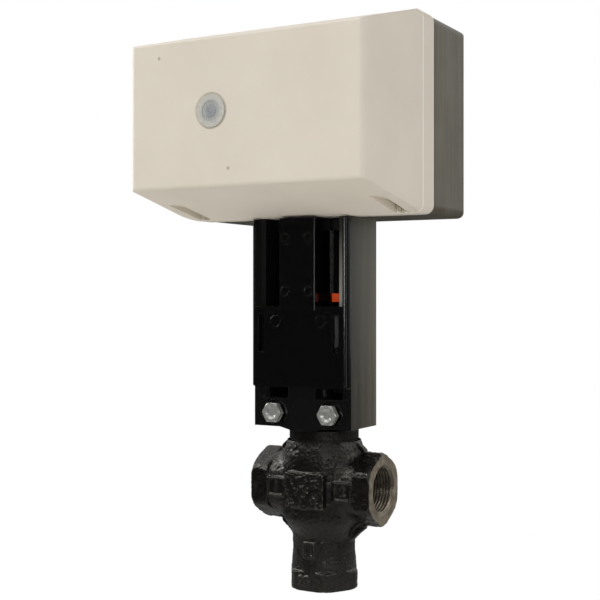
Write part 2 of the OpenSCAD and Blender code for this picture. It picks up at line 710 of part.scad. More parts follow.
module plate_hollow() soft_polygon([[plate_wall - half_w, plate_front_y + plate_wall],
    [half_w - plate_wall, plate_front_y + plate_wall], [half_w - plate_wall, over - column_front],
    [plate_wall - half_w, over - column_front]], [cover_edge_r - plate_wall, cover_edge_r - plate_wall, 0, 0]);
module column_cover() color([0.05, 0.05, 0.05]) {
    spine = spine_w / 2;
    wall = plate_wall;
    difference() {
        union() {
            difference() {
                intersection() {
                    along_z(cover_low_z, cover_high_z) plate_outline();
                    along_y(plate_front_y - over, 0) soft_polygon([[-half_w, cover_low_z], [half_w, cover_low_z],
                        [half_w, cover_high_z], [-half_w, cover_high_z]], [plate_foot_r, plate_foot_r, 0, 0]);
                }
                along_z(cover_low_z + wall, window_z - wall) plate_hollow();
                along_z(window_z, cover_high_z + over) plate_hollow();
            }
            along_z(window_z - wall, cover_high_z) soft_polygon([[-spine, spine_front_y], [spine, spine_front_y],
                [spine, spine_back_y], [-spine, spine_back_y]], [wall / 2, wall / 2, 0, 0]);
            box([leg_gap - bay_r, -column_front - over, window_z - wall],
                [bay_r - leg_gap, spine_back_y, window_z]);
            both_x() box([bay_r - leg_gap - wall, plate_front_y + wall / 2, cover_low_z + 2 * wall],
                [bay_r - leg_gap, -column_front + channel_depth / 2, slot_z - wall]);
        }
        both_x() box([spine, spine_front_y - over, window_z], [window_x, -column_front, cover_high_z + over]);
        both_x() box([slot_x - slot_w / 2, plate_front_y - over, slot_z],
            [slot_x + slot_w / 2, -column_front + over, slot_z + slot_len]);
        box([wall - spine, spine_front_y + wall, window_z + wall], [spine - wall, spine_back_y + over, cover_high_z + over]);
    }
    for (z = [window_z + 3 * hoop_r, cover_high_z - 4 * hoop_r]) both_x()
        hoop(spine - 1.4 * hoop_r, z, hoop_r, spine_front_y);
    both_x() hoop(spine + hoop_r, window_z - 3 * hoop_r, 1.25 * hoop_r, plate_front_y);
}

// Cast housing
wall_x = housing_w / 2;
housing_top_z = housing_z + housing_h;
housing_mid_z = (housing_z + housing_top_z) / 2;
boss_r = 4.5;
pillar_r = 4;
stud_r = 2;
screw_r = 1.5;
board_boss_r = 3.5;
plate_low_z = output_c[1] - output_r - 2 * plate_margin;
plate_high_z = motor_c[1] + motor_d / 2 + plate_margin / 2;
plate_left_x = motor_c[0] - motor_d / 2 - plate_margin / 2;
plate_right_x = 20;
plate_step_z = hand_c[1] + 2.5 * plate_margin;
pillar_spots = [[plate_left_x + plate_margin, plate_low_z + plate_margin],
    [plate_right_x - plate_margin, plate_low_z + plate_margin],
    [plate_right_x - plate_margin, plate_step_z - plate_margin],
    [plate_left_x + plate_margin, plate_high_z - plate_margin]];
board_gap = 8;
board_x = plate_right_x + board_gap;
board_side = 5.7;
board_w = inner_x - board_side - board_x;
board_h = 80;
board_t = 1.6;
board_y = 10;
board_rise = 34;
board_z = housing_z + board_rise;
board_inset = 5;
board_spots = [for (x = [board_x + board_inset, board_x + board_w - board_inset],
    z = [board_z + board_inset, board_z + board_h - board_inset]) [x, z]];
gland_y = 14;
gland_rise = 22;
gland_z = housing_z + gland_rise;
gland_thread_r = 8;
cover_screw_z = rim_z + groove_h / 2;
cover_screw_x = rim_w / 2 - groove_side;
groove_post = 2;
groove_edge = groove_w / 2 + groove_post;
tongue_x = 45;
tab_w = 16;
tab_t = 2.2;
tab_len = 9;
module housing() color([0.38, 0.37, 0.34]) difference() {
    union() {
        difference() {
            intersection() {
                along_y(-housing_front, housing_back_y) translate([0, housing_mid_z])
                    soft_rect(housing_w, housing_h, casing_corner_r);
                along_z(housing_z, housing_top_z) soft_polygon([[-wall_x, -housing_front],
                    [wall_x, -housing_front], [wall_x, housing_back_y], [-wall_x, housing_back_y]],
                    [0, 0, casing_corner_r / 2, casing_corner_r / 2]);
            }
            along_y(-housing_front - over, bay_floor_y) translate([0, housing_mid_z])
                soft_rect(housing_w - 2 * housing_wall, housing_h - 2 * housing_wall,
                    casing_corner_r - housing_wall / 2);
        }
        for (spot = pillar_spots) place(spot) rod_y(rear_plate_y + gear_plate_t, bay_floor_y + over, boss_r);
        for (spot = board_spots) place(spot) rod_y(board_y + board_t, bay_floor_y + over, board_boss_r);
        both_x() box([cover_screw_x - groove_edge, -housing_front, housing_z + housing_wall / 2],
            [cover_screw_x + groove_edge, 2 * boss_r, rim_z + groove_h + groove_post / 2]);
    }
    rod_z(housing_z - over, housing_z + housing_wall + over, bush_r + run_gap);
    at_yoke_screws()
        rod_z(housing_z - over, housing_z + housing_wall + over, yoke_screw_d / 2 + run_gap);
    for (spot = pillar_spots) place(spot) rod_y(rear_plate_y, bay_floor_y - over, stud_r + run_gap);
    for (spot = board_spots) place(spot) rod_y(board_y, bay_floor_y - over, screw_r + run_gap);
    both_x() translate([cover_screw_x, 0, cover_screw_z])
        rod_y(-housing_front - over, boss_r, cover_screw_d / 2 + run_gap);
    translate([0, gland_y, gland_z]) rod_x(-wall_x - over, housing_wall + over - wall_x, gland_thread_r + run_gap);
}
module yoke_screws() color([0.5, 0.5, 0.5]) at_yoke_screws() difference() {
    union() {
        rod_z(bush_low_z, housing_z + housing_wall, yoke_screw_d / 2);
        rod_z(housing_z + housing_wall, housing_z + housing_wall + 0.9 * yoke_screw_d, 0.85 * yoke_screw_d);
    }
    translate([0, 0, housing_z + housing_wall + 0.4 * yoke_screw_d])
        cylinder(h = yoke_screw_d, d = 0.92 * yoke_screw_d, $fn = 6);
}

// Drive spindle with its rack, bush and guide
bush_rise = 1;
bush_low_z = column_top_z - flange_t + bush_rise;
bush_collar_t = 2.5;
bush_lip = 2;
rack_back_x = 6;
rack_low_z = housing_z + housing_wall + bush_collar_t + 3 * rack_module;
rack_top_z = output_c[1] + rack_pitch_r + 2 * rack_module;
rack_pitch = PI * rack_module;
module spindle_bush() color([0.7, 0.52, 0.28]) difference() {
    union() {
        rod_z(bush_low_z, housing_z + housing_wall, bush_r);
        rod_z(housing_z + housing_wall, housing_z + housing_wall + bush_collar_t, bush_r + bush_lip);
    }
    rod_z(bush_low_z - over, housing_z + housing_wall + bush_collar_t + over, spindle_d / 2 + run_gap);
}
module rack_gaps() {
    reach = dedendum_share * rack_module;
    out = addendum_share * rack_module + over;
    flank = tan(tooth_angle);
    half_gap = rack_pitch / 4 + play_share * rack_module / 2;
    count = ceil((rack_top_z - rack_low_z) / rack_pitch / 2) + 1;
    for (k = [-count:count]) translate([rack_line_x, output_c[1] + k * rack_pitch])
        polygon([[reach, half_gap - reach * flank], [-out, half_gap + out * flank],
            [-out, -half_gap - out * flank], [reach, -half_gap + reach * flank]]);
}
module drive_spindle() color([0.68, 0.68, 0.66]) difference() {
    union() {
        rod_z(spindle_low_z, rack_low_z + over, spindle_d / 2);
        box([rack_line_x - addendum_share * rack_module, -rack_t / 2, rack_low_z],
            [rack_back_x, rack_t / 2, rack_top_z]);
    }
    along_y(-rack_t, rack_t) intersection() {
        rack_gaps();
        translate([-spindle_d, rack_low_z + rack_module])
            square([2 * spindle_d, rack_top_z - rack_low_z]);
    }
    translate([0, 0, pin_z]) rod_y(-spindle_d, spindle_d, pin_r + run_gap);
}
guide_t = 7;
guide_h = 18;
module rack_guide() color([0.85, 0.84, 0.78]) difference() {
    translate([0, 0, output_c[1]]) box([rack_back_x + run_gap, -rack_t / 2 - over, -guide_h / 2],
        [rack_back_x + guide_t, rear_plate_y, guide_h / 2]);
    translate([rack_back_x + guide_t / 2, 0, output_c[1]])
        rod_y(rear_plate_y - guide_t, rear_plate_y + over, guide_t / 4);
}

// Gear plates, pillars and screws
pivot_r = 3;
slim_pivot_r = 2;
hand_shaft_r = 4;
module gear_plate(y) along_y(y, y + gear_plate_t) soft_polygon([[plate_left_x, plate_low_z],
    [plate_right_x, plate_low_z], [plate_right_x, plate_step_z], [hand_c[0] + motor_d / 2, plate_high_z],
    [plate_left_x, plate_high_z]], [plate_margin, plate_margin, plate_margin, plate_margin, plate_margin] / 2);
module plate_hole(c, r) place(c) rod_y(front_plate_front_y - over, rear_plate_y + gear_plate_t + over, r);
module rear_gear_plate() color([0.7, 0.7, 0.66]) difference() {
    gear_plate(rear_plate_y);
    plate_hole(output_c, pivot_r + run_gap);
    plate_hole(hand_c, hand_shaft_r + run_gap);
    plate_hole(mid_c, slim_pivot_r + run_gap);
    for (spot = pillar_spots) plate_hole(spot, stud_r + run_gap);
}
module front_gear_plate() color([0.7, 0.7, 0.66]) difference() {
    gear_plate(front_plate_front_y);
    plate_hole(output_c, pivot_r + run_gap);
    plate_hole(hand_c, hand_shaft_r + run_gap);
    plate_hole(mid_c, slim_pivot_r + run_gap);
    plate_hole(motor_c, motor_pinion_r + pinion_play);
    for (spot = pillar_spots) plate_hole(spot, screw_r + run_gap);
}
module plate_pillars() color([0.75, 0.75, 0.72]) for (spot = pillar_spots) place(spot) difference() {
    union() {
        rod_y(front_plate_y, rear_plate_y, pillar_r);
        rod_y(rear_plate_y, bay_floor_y - stud_r, stud_r);
    }
    rod_y(front_plate_y - over, front_plate_y + 2 * pillar_r, screw_r + run_gap);
}
module pan_screw(y_seat, r, len) difference() {
    union() {
        rod_y(y_seat, y_seat + len, r);
        rod_y(y_seat - 1.2 * r, y_seat, 2 * r);
    }
    for (turn = [0, 90]) rotate([0, turn, 0])
        box([-1.3 * r, y_seat - 1.2 * r - over, -r / 5], [1.3 * r, y_seat - r / 2, r / 5]);
}
module plate_screws() color([0.8, 0.8, 0.78]) for (spot = pillar_spots) place(spot)
    pan_screw(front_plate_front_y, screw_r, gear_plate_t + pillar_r);

// Wheels and shafts of the gear train
module wheel(c, n, module_size, turn, y0, bore_r) difference() {
    place(c) along_y(y0 - wheel_t, y0) difference() {
        gear_outline(n, module_size, turn);
        circle(bore_r + run_gap);
    }
    rim = n * module_size / 2;
    if (rim > 3 * wheel_t) for (k = [0:4]) place(c) rotate([0, 72 * k, 0])
        translate([0.58 * rim, 0, 0]) rod_y(y0 - wheel_t - over, y0 + over, 0.2 * rim);
}
module output_shaft() color([0.62, 0.62, 0.6]) {
    place(output_c) {
        rod_y(-rack_t / 2 - wheel_gap, rear_plate_y + gear_plate_t, pivot_r);
        rod_y(cam_front_y, -rack_t / 2 - wheel_gap, pivot_r);
    }
    place(output_c) along_y(-rack_t / 2, rack_t / 2) gear_outline(rack_pinion_n, rack_module, 0);
}
module output_wheel() color([0.82, 0.78, 0.62])
    wheel(output_c, output_n, output_module, output_angle, output_wheel_y, pivot_r);
cam_t = 5;
cam_gap = 1.2;
cam_r = 9;
cam_rear_y = front_plate_front_y - cam_gap;
cam_front_y = cam_rear_y - 2 * cam_t - 2 * cam_gap;
module switch_cams() color([0.2, 0.3, 0.55]) for (k = [0, 1]) place(output_c) difference() {
    y1 = cam_rear_y - k * (cam_t + cam_gap);
    along_y(y1 - cam_t, y1) rotate(100 + 160 * k) union() {
        circle(0.72 * cam_r);
        soft_polygon([[0, -cam_r / 2], [cam_r, -cam_r / 4], [cam_r, cam_r / 4], [0, cam_r / 2]],
            [0, cam_r / 8, cam_r / 8, 0]);
    }
    rod_y(y1 - cam_t - over, y1 + over, pivot_r + run_gap);
}
hand_tip_gap = 7;
hand_tip_y = front_y + cover_wall + hand_tip_gap;
module hand_drive_shaft() color([0.62, 0.62, 0.6]) difference() {
    union() {
        place(hand_c) rod_y(hand_tip_y, rear_plate_y + gear_plate_t, hand_shaft_r);
        place(hand_c) along_y(output_wheel_y - wheel_t, output_wheel_y)
            gear_outline(hand_pinion_n, output_module, output_angle + 180 + 180 / hand_pinion_n);
    }
    place(hand_c) translate([0, hand_tip_y - over, 0]) rotate([-90, 0, 0])
        cylinder(h = 2 * hand_shaft_r, r = 0.7 * hand_shaft_r, $fn = 6);
}
module hand_wheel() color([0.85, 0.82, 0.7])
    wheel(hand_c, hand_wheel_n, hand_module, 180, hand_wheel_y, hand_shaft_r);
module intermediate_shaft() color([0.62, 0.62, 0.6]) {
    place(mid_c) rod_y(front_plate_front_y, rear_plate_y + gear_plate_t, slim_pivot_r);
    place(mid_c) along_y(hand_wheel_y - wheel_t, hand_wheel_y)
        gear_outline(mid_pinion_n, hand_module, 180 / mid_pinion_n);
}
module intermediate_wheel() color([0.85, 0.82, 0.7])
    wheel(mid_c, mid_wheel_n, motor_module, 90, mid_wheel_y, slim_pivot_r);

// Motor with its ears, screws and pinion
motor_shaft_r = 1.5;
ear_reach = 5;
ear_t = 1.2;
motor_lip = 0.5;
pinion_play = 1;
ear_x = motor_d / 2 + ear_reach;
module motor() color([0.55, 0.55, 0.52]) place(motor_c) difference() {
    union() {
        rod_y(front_plate_front_y - motor_len, front_plate_front_y - ear_t, motor_d / 2);
        along_y(front_plate_front_y - ear_t, front_plate_front_y) union() {
            circle(motor_d / 2);
            soft_rect(2 * ear_x + 2 * plate_margin, 2 * plate_margin, 0.9 * plate_margin);
        }
    }
    rod_y(front_plate_front_y - motor_len / 2, front_plate_front_y + over, motor_shaft_r + run_gap);
    for (x = [-ear_x, ear_x]) translate([x, 0, 0])
        rod_y(front_plate_front_y - motor_len, front_plate_front_y + over, screw_r + run_gap);
    difference() {
        rod_y(front_plate_front_y - motor_len - over, front_plate_front_y - motor_len + motor_lip, motor_d / 2 - 2 * ear_t);
        rod_y(front_plate_front_y - motor_len - 2 * over, front_plate_front_y, motor_d / 5);
    }
}
module motor_screws() color([0.8, 0.8, 0.78]) for (x = [-ear_x, ear_x]) place(motor_c + [x, 0])
    pan_screw(front_plate_front_y - ear_t, screw_r, ear_t - run_gap);
module motor_pinion() color([0.72, 0.62, 0.3]) place(motor_c) {
    rod_y(front_plate_front_y - motor_len / 2 + pinion_play, mid_wheel_y + pinion_play, motor_shaft_r);
    along_y(mid_wheel_y - wheel_t - motor_lip, mid_wheel_y + motor_lip)
        gear_outline(motor_pinion_n, motor_module, 270 + 180 / motor_pinion_n);
}

// Limit switches, terminals, board and capacitor
switch_w = 10;
switch_h = 20;
switch_gap = 2.5;
button_r = 1;
switch_x = output_c[0] + cam_r + switch_gap;
module limit_switches() color([0.12, 0.12, 0.13]) for (k = [0, 1]) {
    y1 = (k == 0 ? front_plate_front_y : cam_rear_y - cam_t - cam_gap / 2);
    y0 = (k == 0 ? cam_rear_y - cam_t - cam_gap / 2 + run_gap : cam_front_y);
    difference() {
        union() {
            along_y(y0, y1) translate([switch_x + switch_w / 2, output_c[1]])
                soft_rect(switch_w, switch_h, button_r / 2);
            box([switch_x - 2 * button_r, (y0 + y1) / 2 - button_r, output_c[1] - button_r],
                [switch_x + button_r, (y0 + y1) / 2 + button_r, output_c[1] + button_r]);
        }
        for (z = [-switch_h / 4, switch_h / 4]) translate([switch_x + 0.7 * switch_w, 0, output_c[1] + z])
            rod_y(y0 - over, y1 + over, button_r + run_gap);
    }
}
module switch_screws() color([0.8, 0.8, 0.78]) for (z = [-switch_h / 4, switch_h / 4])
    translate([switch_x + 0.7 * switch_w, 0, output_c[1] + z])
        pan_screw(cam_front_y, button_r, front_plate_front_y - cam_front_y - run_gap);
block_n = 6;
block_pitch = 7;
block_h = 14;
block_t = 13;
block_x = plate_left_x + 2.5 * plate_margin;
block_z = plate_low_z + plate_margin / 6;
module terminal_block() color([0.75, 0.77, 0.72]) difference() {
    box([block_x, front_plate_front_y - block_t, block_z],
        [block_x + block_n * block_pitch, front_plate_front_y, block_z + block_h]);
    for (k = [0:block_n - 1]) translate([block_x + (k + 0.5) * block_pitch, 0, block_z]) {
        translate([0, 0, 0.68 * block_h]) rod_y(front_plate_front_y - block_t - over,
            front_plate_front_y - block_t / 2, block_pitch / 3);
        box([-block_pitch / 3, front_plate_front_y - 0.7 * block_t, -over],
            [block_pitch / 3, front_plate_front_y - 0.3 * block_t, block_h / 3]);
    }
}
module control_board() color([0.16, 0.36, 0.24]) difference() {
    box([board_x, board_y, board_z], [board_x + board_w, board_y + board_t, board_z + board_h]);
    for (spot = board_spots) place(spot)
        rod_y(board_y - over, board_y + board_t + over, screw_r + run_gap);
}
module board_screws() color([0.8, 0.8, 0.78]) for (spot = board_spots) place(spot)
    pan_screw(board_y, screw_r, board_t + 2 * pillar_r);
capacitor_r = 9;
capacitor_len = 26;
module capacitor() color([0.2, 0.25, 0.4]) place([board_x + board_w / 2, board_z + 0.7 * board_h])
    rotate([90, 0, 0]) translate([0, 0, -board_y]) rotate_extrude() soft_polygon([[0, 0],
        [capacitor_r, 0], [capacitor_r, capacitor_len], [0, capacitor_len]], [0, capacitor_r / 18, capacitor_r / 9, 0]);

// Cable gland on the left wall
gland_flats = 20;
gland_out = 6;
gland_cap_len = 12;
cable_r = 3.5;
gland_wall = 2;
gland_clear = 1;
gland_gap = 0.25;
module at_gland() translate([-wall_x, gland_y, gland_z]) rotate([0, -90, 0]) children();
module cable_gland() color([0.3, 0.3, 0.3]) at_gland() difference() {
    union() {
        rod_z(-housing_wall - gland_out, 0, gland_thread_r);
        along_z(0, gland_out) hexagon(gland_flats);
        rod_z(gland_out, gland_out + 0.6 * gland_cap_len, gland_thread_r);
    }
    rod_z(-housing_wall - gland_out - over, gland_out, cable_r + gland_clear);
    rod_z(gland_out - over, gland_out + gland_cap_len, gland_thread_r - gland_wall);
}
module gland_seal() color([0.1, 0.1, 0.1]) at_gland()
    ring_z(gland_out, gland_out + 0.75 * gland_cap_len, gland_thread_r - gland_wall - soft_gap / 2, cable_r);
module gland_cap() color([0.3, 0.3, 0.3]) at_gland() difference() {
    union() {
        along_z(gland_out + gland_gap, gland_out + 0.6 * gland_cap_len) hexagon(gland_flats);
        translate([0, 0, gland_out + 0.6 * gland_cap_len])
            cylinder(h = 0.4 * gland_cap_len, r1 = 0.48 * gland_flats, r2 = cable_r + gland_wall);
    }
    rod_z(gland_out - over, gland_out + 0.6 * gland_cap_len, gland_thread_r + run_gap);
    rod_z(gland_out, gland_out + 0.78 * gland_cap_len, gland_thread_r - gland_wall);
    rod_z(gland_out, gland_out + gland_cap_len + over, cable_r + gland_clear);
}
module gland_lock_nut() color([0.3, 0.3, 0.3]) at_gland() difference() {
    along_z(-housing_wall - 0.7 * gland_out, -housing_wall) hexagon(gland_flats + gland_wall);
    rod_z(-housing_wall - gland_out, -housing_wall + over, gland_thread_r + run_gap);
}

// Moulded cover, its seal, screws and plug
front_z = rim_z + front_drop;
rim_top_z = rim_z + rim_h;
seal_t = seam - soft_gap;
seal_w = 1.2;
seal_inset = 0.3;
rim_edge_r = 1;
module cover_form(inset, back_y) {
    rim = rim_w / 2 - inset;
    flat = rim_w / 2 - side_draw - inset;
    upright_r = max(front_edge_r - inset, 0);
    level_r = max(level_edge_r - inset, 0);
    intersection() {
        along_z(rim_z - over, rim_top_z + over) soft_polygon([[-rim, back_y], [-rim, rim_front_y],
            [-flat, front_y + inset], [flat, front_y + inset], [rim, rim_front_y], [rim, back_y]],
            [0, rim_edge_r, upright_r, upright_r, rim_edge_r, 0]);
        along_x(-rim_w, rim_w) soft_polygon([[back_y, rim_z + inset], [back_y, rim_top_z - inset],
            [rim_front_y, rim_top_z - inset], [front_y + inset, front_z + front_h - inset],
            [front_y + inset, front_z + inset], [rim_front_y, rim_z + inset]],
            [0, 0, rim_edge_r, level_r, level_r, rim_edge_r]);
        along_y(front_y - over, back_y) translate([0, (rim_z + rim_top_z) / 2])
            soft_rect(2 * rim, rim_h - 2 * inset, casing_corner_r - inset / 2);
    }
}
module groove_box(grow, y0, y1) both_x() box(
    [cover_screw_x - groove_w / 2 - grow, y0, rim_z - over],
    [cover_screw_x + groove_w / 2 + grow, y1, rim_z + groove_h + grow]);
module cover() color([0.85, 0.82, 0.75]) difference() {
    union() {
        difference() {
            cover_form(0, rim_back_y);
            cover_form(cover_wall, rim_back_y + over);
        }
        intersection() {
            cover_form(0, rim_back_y);
            groove_box(cover_wall * 0.8, front_y, rim_back_y);
        }
        both_x() box([tongue_x, rim_back_y - rim_len / 2, housing_top_z - housing_wall - soft_gap - tab_t],
            [tongue_x + tab_w, rim_back_y + tab_len, housing_top_z - housing_wall - soft_gap]);
        both_x() box([tongue_x, rim_back_y - rim_len / 2, housing_top_z - housing_wall - soft_gap - tab_t],
            [tongue_x + tab_w, rim_back_y, rim_top_z - cover_wall / 2]);
    }
    groove_box(0, front_y, rim_front_y);
    both_x() translate([cover_screw_x, 0, cover_screw_z])
        rod_y(rim_front_y - over, rim_back_y + over, cover_screw_d / 2 + 2 * run_gap);
    place(hand_c) {
        rod_y(front_y - over, front_y + 2 * cover_wall, plug_neck_r + 2 * run_gap);
        translate([0, front_y - over, 0]) rotate([-90, 0, 0])
            cylinder(h = over + dish_t, r1 = plug_cap_d / 2 + dish_rim * (over + dish_t) / dish_t,
                r2 = plug_cap_d / 2 + dish_gap);
    }
}
dish_t = 0.8;
dish_rim = 1.2;
dish_gap = 0.5;
plug_lip = 1.2;
plug_wall = 1;
plug_neck_r = plug_cap_d / 2 - plug_lip;
module plug_cap() color([0.62, 0.66, 0.7]) place(hand_c) difference() {
    union() {
        rod_y(front_y - dish_t / 2, front_y + dish_t, plug_cap_d / 2);
        rod_y(front_y + dish_t, front_y + cover_wall + plug_wall, plug_neck_r);
    }
    rod_y(front_y + 2 * dish_t, front_y + 2 * cover_wall, plug_neck_r - plug_wall);
    difference() {
        rod_y(front_y - over, front_y, 0.7 * plug_neck_r);
        rod_y(front_y - 2 * over, front_y + over, 0.4 * plug_neck_r);
    }
}
module cover_screws() color([0.8, 0.8, 0.78]) both_x() translate([cover_screw_x, 0, cover_screw_z])
    pan_screw(rim_front_y, cover_screw_d / 2, rim_len + seam + 0.8 * boss_r);
module cover_seal() color([0.1, 0.1, 0.1]) along_y(-housing_front - seal_t, -housing_front)
    translate([0, housing_mid_z]) difference() {
        soft_rect(housing_w - 2 * seal_inset, housing_h - 2 * seal_inset, casing_corner_r - seal_inset);
        soft_rect(housing_w - 2 * seal_inset - 2 * seal_w, housing_h - 2 * seal_inset - 2 * seal_w,
            casing_corner_r - seal_inset - seal_w);
    }

valve_body();
lower_seat_ring();
upper_seat_ring();
valve_plug();
plug_nut();
valve_stem();
bonnet();
bonnet_gasket();
packing_rings();
gland_nut();
stem_lock_nut();
stem_coupling();
coupling_pin();
position_pointer();
yoke();
clamp_jaw();
clamp_bolts();
clamp_washers();
lock_washers();
column_cover();
housing();
yoke_screws();
spindle_bush();
drive_spindle();
rack_guide();
rear_gear_plate();
front_gear_plate();
plate_pillars();
plate_screws();
output_shaft();
output_wheel();
switch_cams();
hand_drive_shaft();
hand_wheel();
intermediate_shaft();
intermediate_wheel();
motor();
motor_screws();
motor_pinion();
limit_switches();
switch_screws();
terminal_block();
control_board();
board_screws();
capacitor();
cable_gland();
gland_seal();
gland_cap();
gland_lock_nut();
cover_seal();
cover();
cover_screws();
plug_cap();
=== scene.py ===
import json
import math

import bmesh
import bpy
from mathutils import Matrix, Vector, noise


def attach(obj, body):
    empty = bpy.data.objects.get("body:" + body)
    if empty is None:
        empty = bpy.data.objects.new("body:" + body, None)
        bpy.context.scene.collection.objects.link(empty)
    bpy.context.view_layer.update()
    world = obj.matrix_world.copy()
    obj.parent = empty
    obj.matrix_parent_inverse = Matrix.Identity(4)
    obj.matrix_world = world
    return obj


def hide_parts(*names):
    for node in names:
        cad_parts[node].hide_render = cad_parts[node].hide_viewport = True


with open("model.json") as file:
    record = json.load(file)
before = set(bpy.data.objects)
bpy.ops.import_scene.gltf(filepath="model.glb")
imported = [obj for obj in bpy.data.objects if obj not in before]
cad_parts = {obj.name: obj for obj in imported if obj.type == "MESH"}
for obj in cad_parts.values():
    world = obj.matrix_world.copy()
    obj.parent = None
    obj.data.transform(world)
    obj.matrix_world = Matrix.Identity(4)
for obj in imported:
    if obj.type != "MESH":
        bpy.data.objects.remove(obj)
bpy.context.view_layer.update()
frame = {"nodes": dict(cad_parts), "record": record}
nodes = frame["nodes"]
mounts = {m["name"]: m for m in frame["record"]["mounts"]}
MM = 0.001


def reach(node, axis, pick):
    """The lowest (min) or highest (max) coordinate of a CAD node, in millimetres."""
    i = "xyz".index(axis)
    return round(pick(v.co[i] for v in nodes[node].data.vertices) / MM, 3)


def middle(node, axis):
    """The middle of a CAD node along an axis, in millimetres."""
    return (reach(node, axis, min) + reach(node, axis, max)) / 2


# Sizes and places worked out from the frame, in millimetres
FACE_TO_FACE = reach("valve_body", "x", max) - reach("valve_body", "x", min)
BODY_TOP_Z = reach("valve_body", "z", max)
CENTRE_PAD_FRONT = -reach("valve_body", "y", min)
PORT_AXIS_Z = round(mounts["right_port"]["pos_m"][2] / MM, 3)
PORT_BORE_D = 2 * mounts["right_port"]["dims"]["r_mm"]
CLAMP_TOP_Z = reach("column_cover", "z", min) - 0.5
CLAMP_WASHERS_Y = reach("lock_washers", "y", min) - 0.1
HOUSING_FRONT_Y = reach("housing", "y", min)
COVER_FRONT_Y = reach("cover", "y", min)
PLUG_X = middle("plug_cap", "x")
PLUG_Z = middle("plug_cap", "z")

# Sizes that the looks share with the part's source, in millimetres
PORT_FLATS = 46.0
PORT_ROUND_D = 51.2
PORT_HEX_LEN = 13.0
PORT_BORE_LEN = 17.0
PORT_MOUTH_D = 34.2
BARREL_D = 57.0
BRANCH_D = 45.0
LOWER_BRANCH_D = 43.0
RIB_T = 5.0
RIB_REACH = 35.4
RIB_FOOT_Z = 34.0
CENTRE_PAD_W = 30
CENTRE_PAD_H = 24.4
SIDE_PAD_X = 26.2
SIDE_PAD_W = 13.5
SIDE_PAD_H = 13
SIDE_PAD_FRONT = 24.2
LOWER_PAD_Z = 28.4
LOWER_PAD_W = 9
LOWER_PAD_H = 10.3
LOWER_PAD_FRONT = 23.0
BAY_R = 29.0

# Sizes of the looks alone, in millimetres
THREAD_PITCH = 2.309
THREAD_DEPTH = 1.479
THREAD_FLAT = 0.14
ROWS_PER_TURN = 14
PORT_SEGMENTS = 72
PORT_CHAMFER = 1.4
SKIN = 0.7
HEX_CORE_R = 23.4
SOFT_VOXEL = 1.3
SOFT_ROUNDS = 70
FINE_VOXEL = 0.62
FINE_ROUNDS = 3
PAD_CORNER_R = 1.4
PAD_SINK = 1.5
PAD_FRAME_W = 1.3
PAD_FRAME_DEPTH = 4
NUMERAL_HALF_T = 1.4
NUMERAL_SINK = 0.1
HEX_MARK_X = -3.5
HEX_MARK_Z = 6.8
HEX_MARK_PROUD = 1.2
JAW_CROWN = 1.3
JAW_CROWN_Y = 10
JAW_CROWN_R = 26

# The casting's face materials, in the order of its slots
CAST, LOWER_FACE, SIDE_FACE, THREAD = range(4)

# Stands an outline upright, with its thickness towards the front
TO_FRONT = Matrix.Rotation(math.pi / 2, 4, "X")


# Materials
class Tree:
    """A node tree with short calls."""

    def __init__(self, tree):
        self.tree = tree

    def add(self, kind, **props):
        node = self.tree.nodes.new(kind)
        for key, value in props.items():
            setattr(node, key, value)
        return node

    def link(self, out, socket):
        self.tree.links.new(out, socket)

    def span(self, value, low, high, to_low=0.0, to_high=1.0):
        """A value carried over from one range to another, and held at its ends."""
        m = self.add("ShaderNodeMapRange")
        self.link(value, m.inputs["Value"])
        for key, v in (("From Min", low), ("From Max", high), ("To Min", to_low), ("To Max", to_high)):
            m.inputs[key].default_value = v
        return m.outputs["Result"]

    def math(self, kind, a, b=None):
        """Arithmetic or a comparison, on numbers or sockets."""
        m = self.add("ShaderNodeMath", operation=kind)
        for socket, v in zip(m.inputs, (a, b)):
            if v is None:
                continue
            if isinstance(v, (int, float)):
                socket.default_value = v
            else:
                self.link(v, socket)
        return m.outputs["Value"]

    def both(self, a, b):
        """Two masks or factors, multiplied."""
        return self.math("MULTIPLY", a, b)

    def either(self, factor, usual, other):
        """One of two shaders, chosen by a factor."""
        m = self.add("ShaderNodeMixShader")
        self.link(factor, m.inputs[0])
        self.link(usual, m.inputs[1])
        self.link(other, m.inputs[2])
        return m.outputs[0]


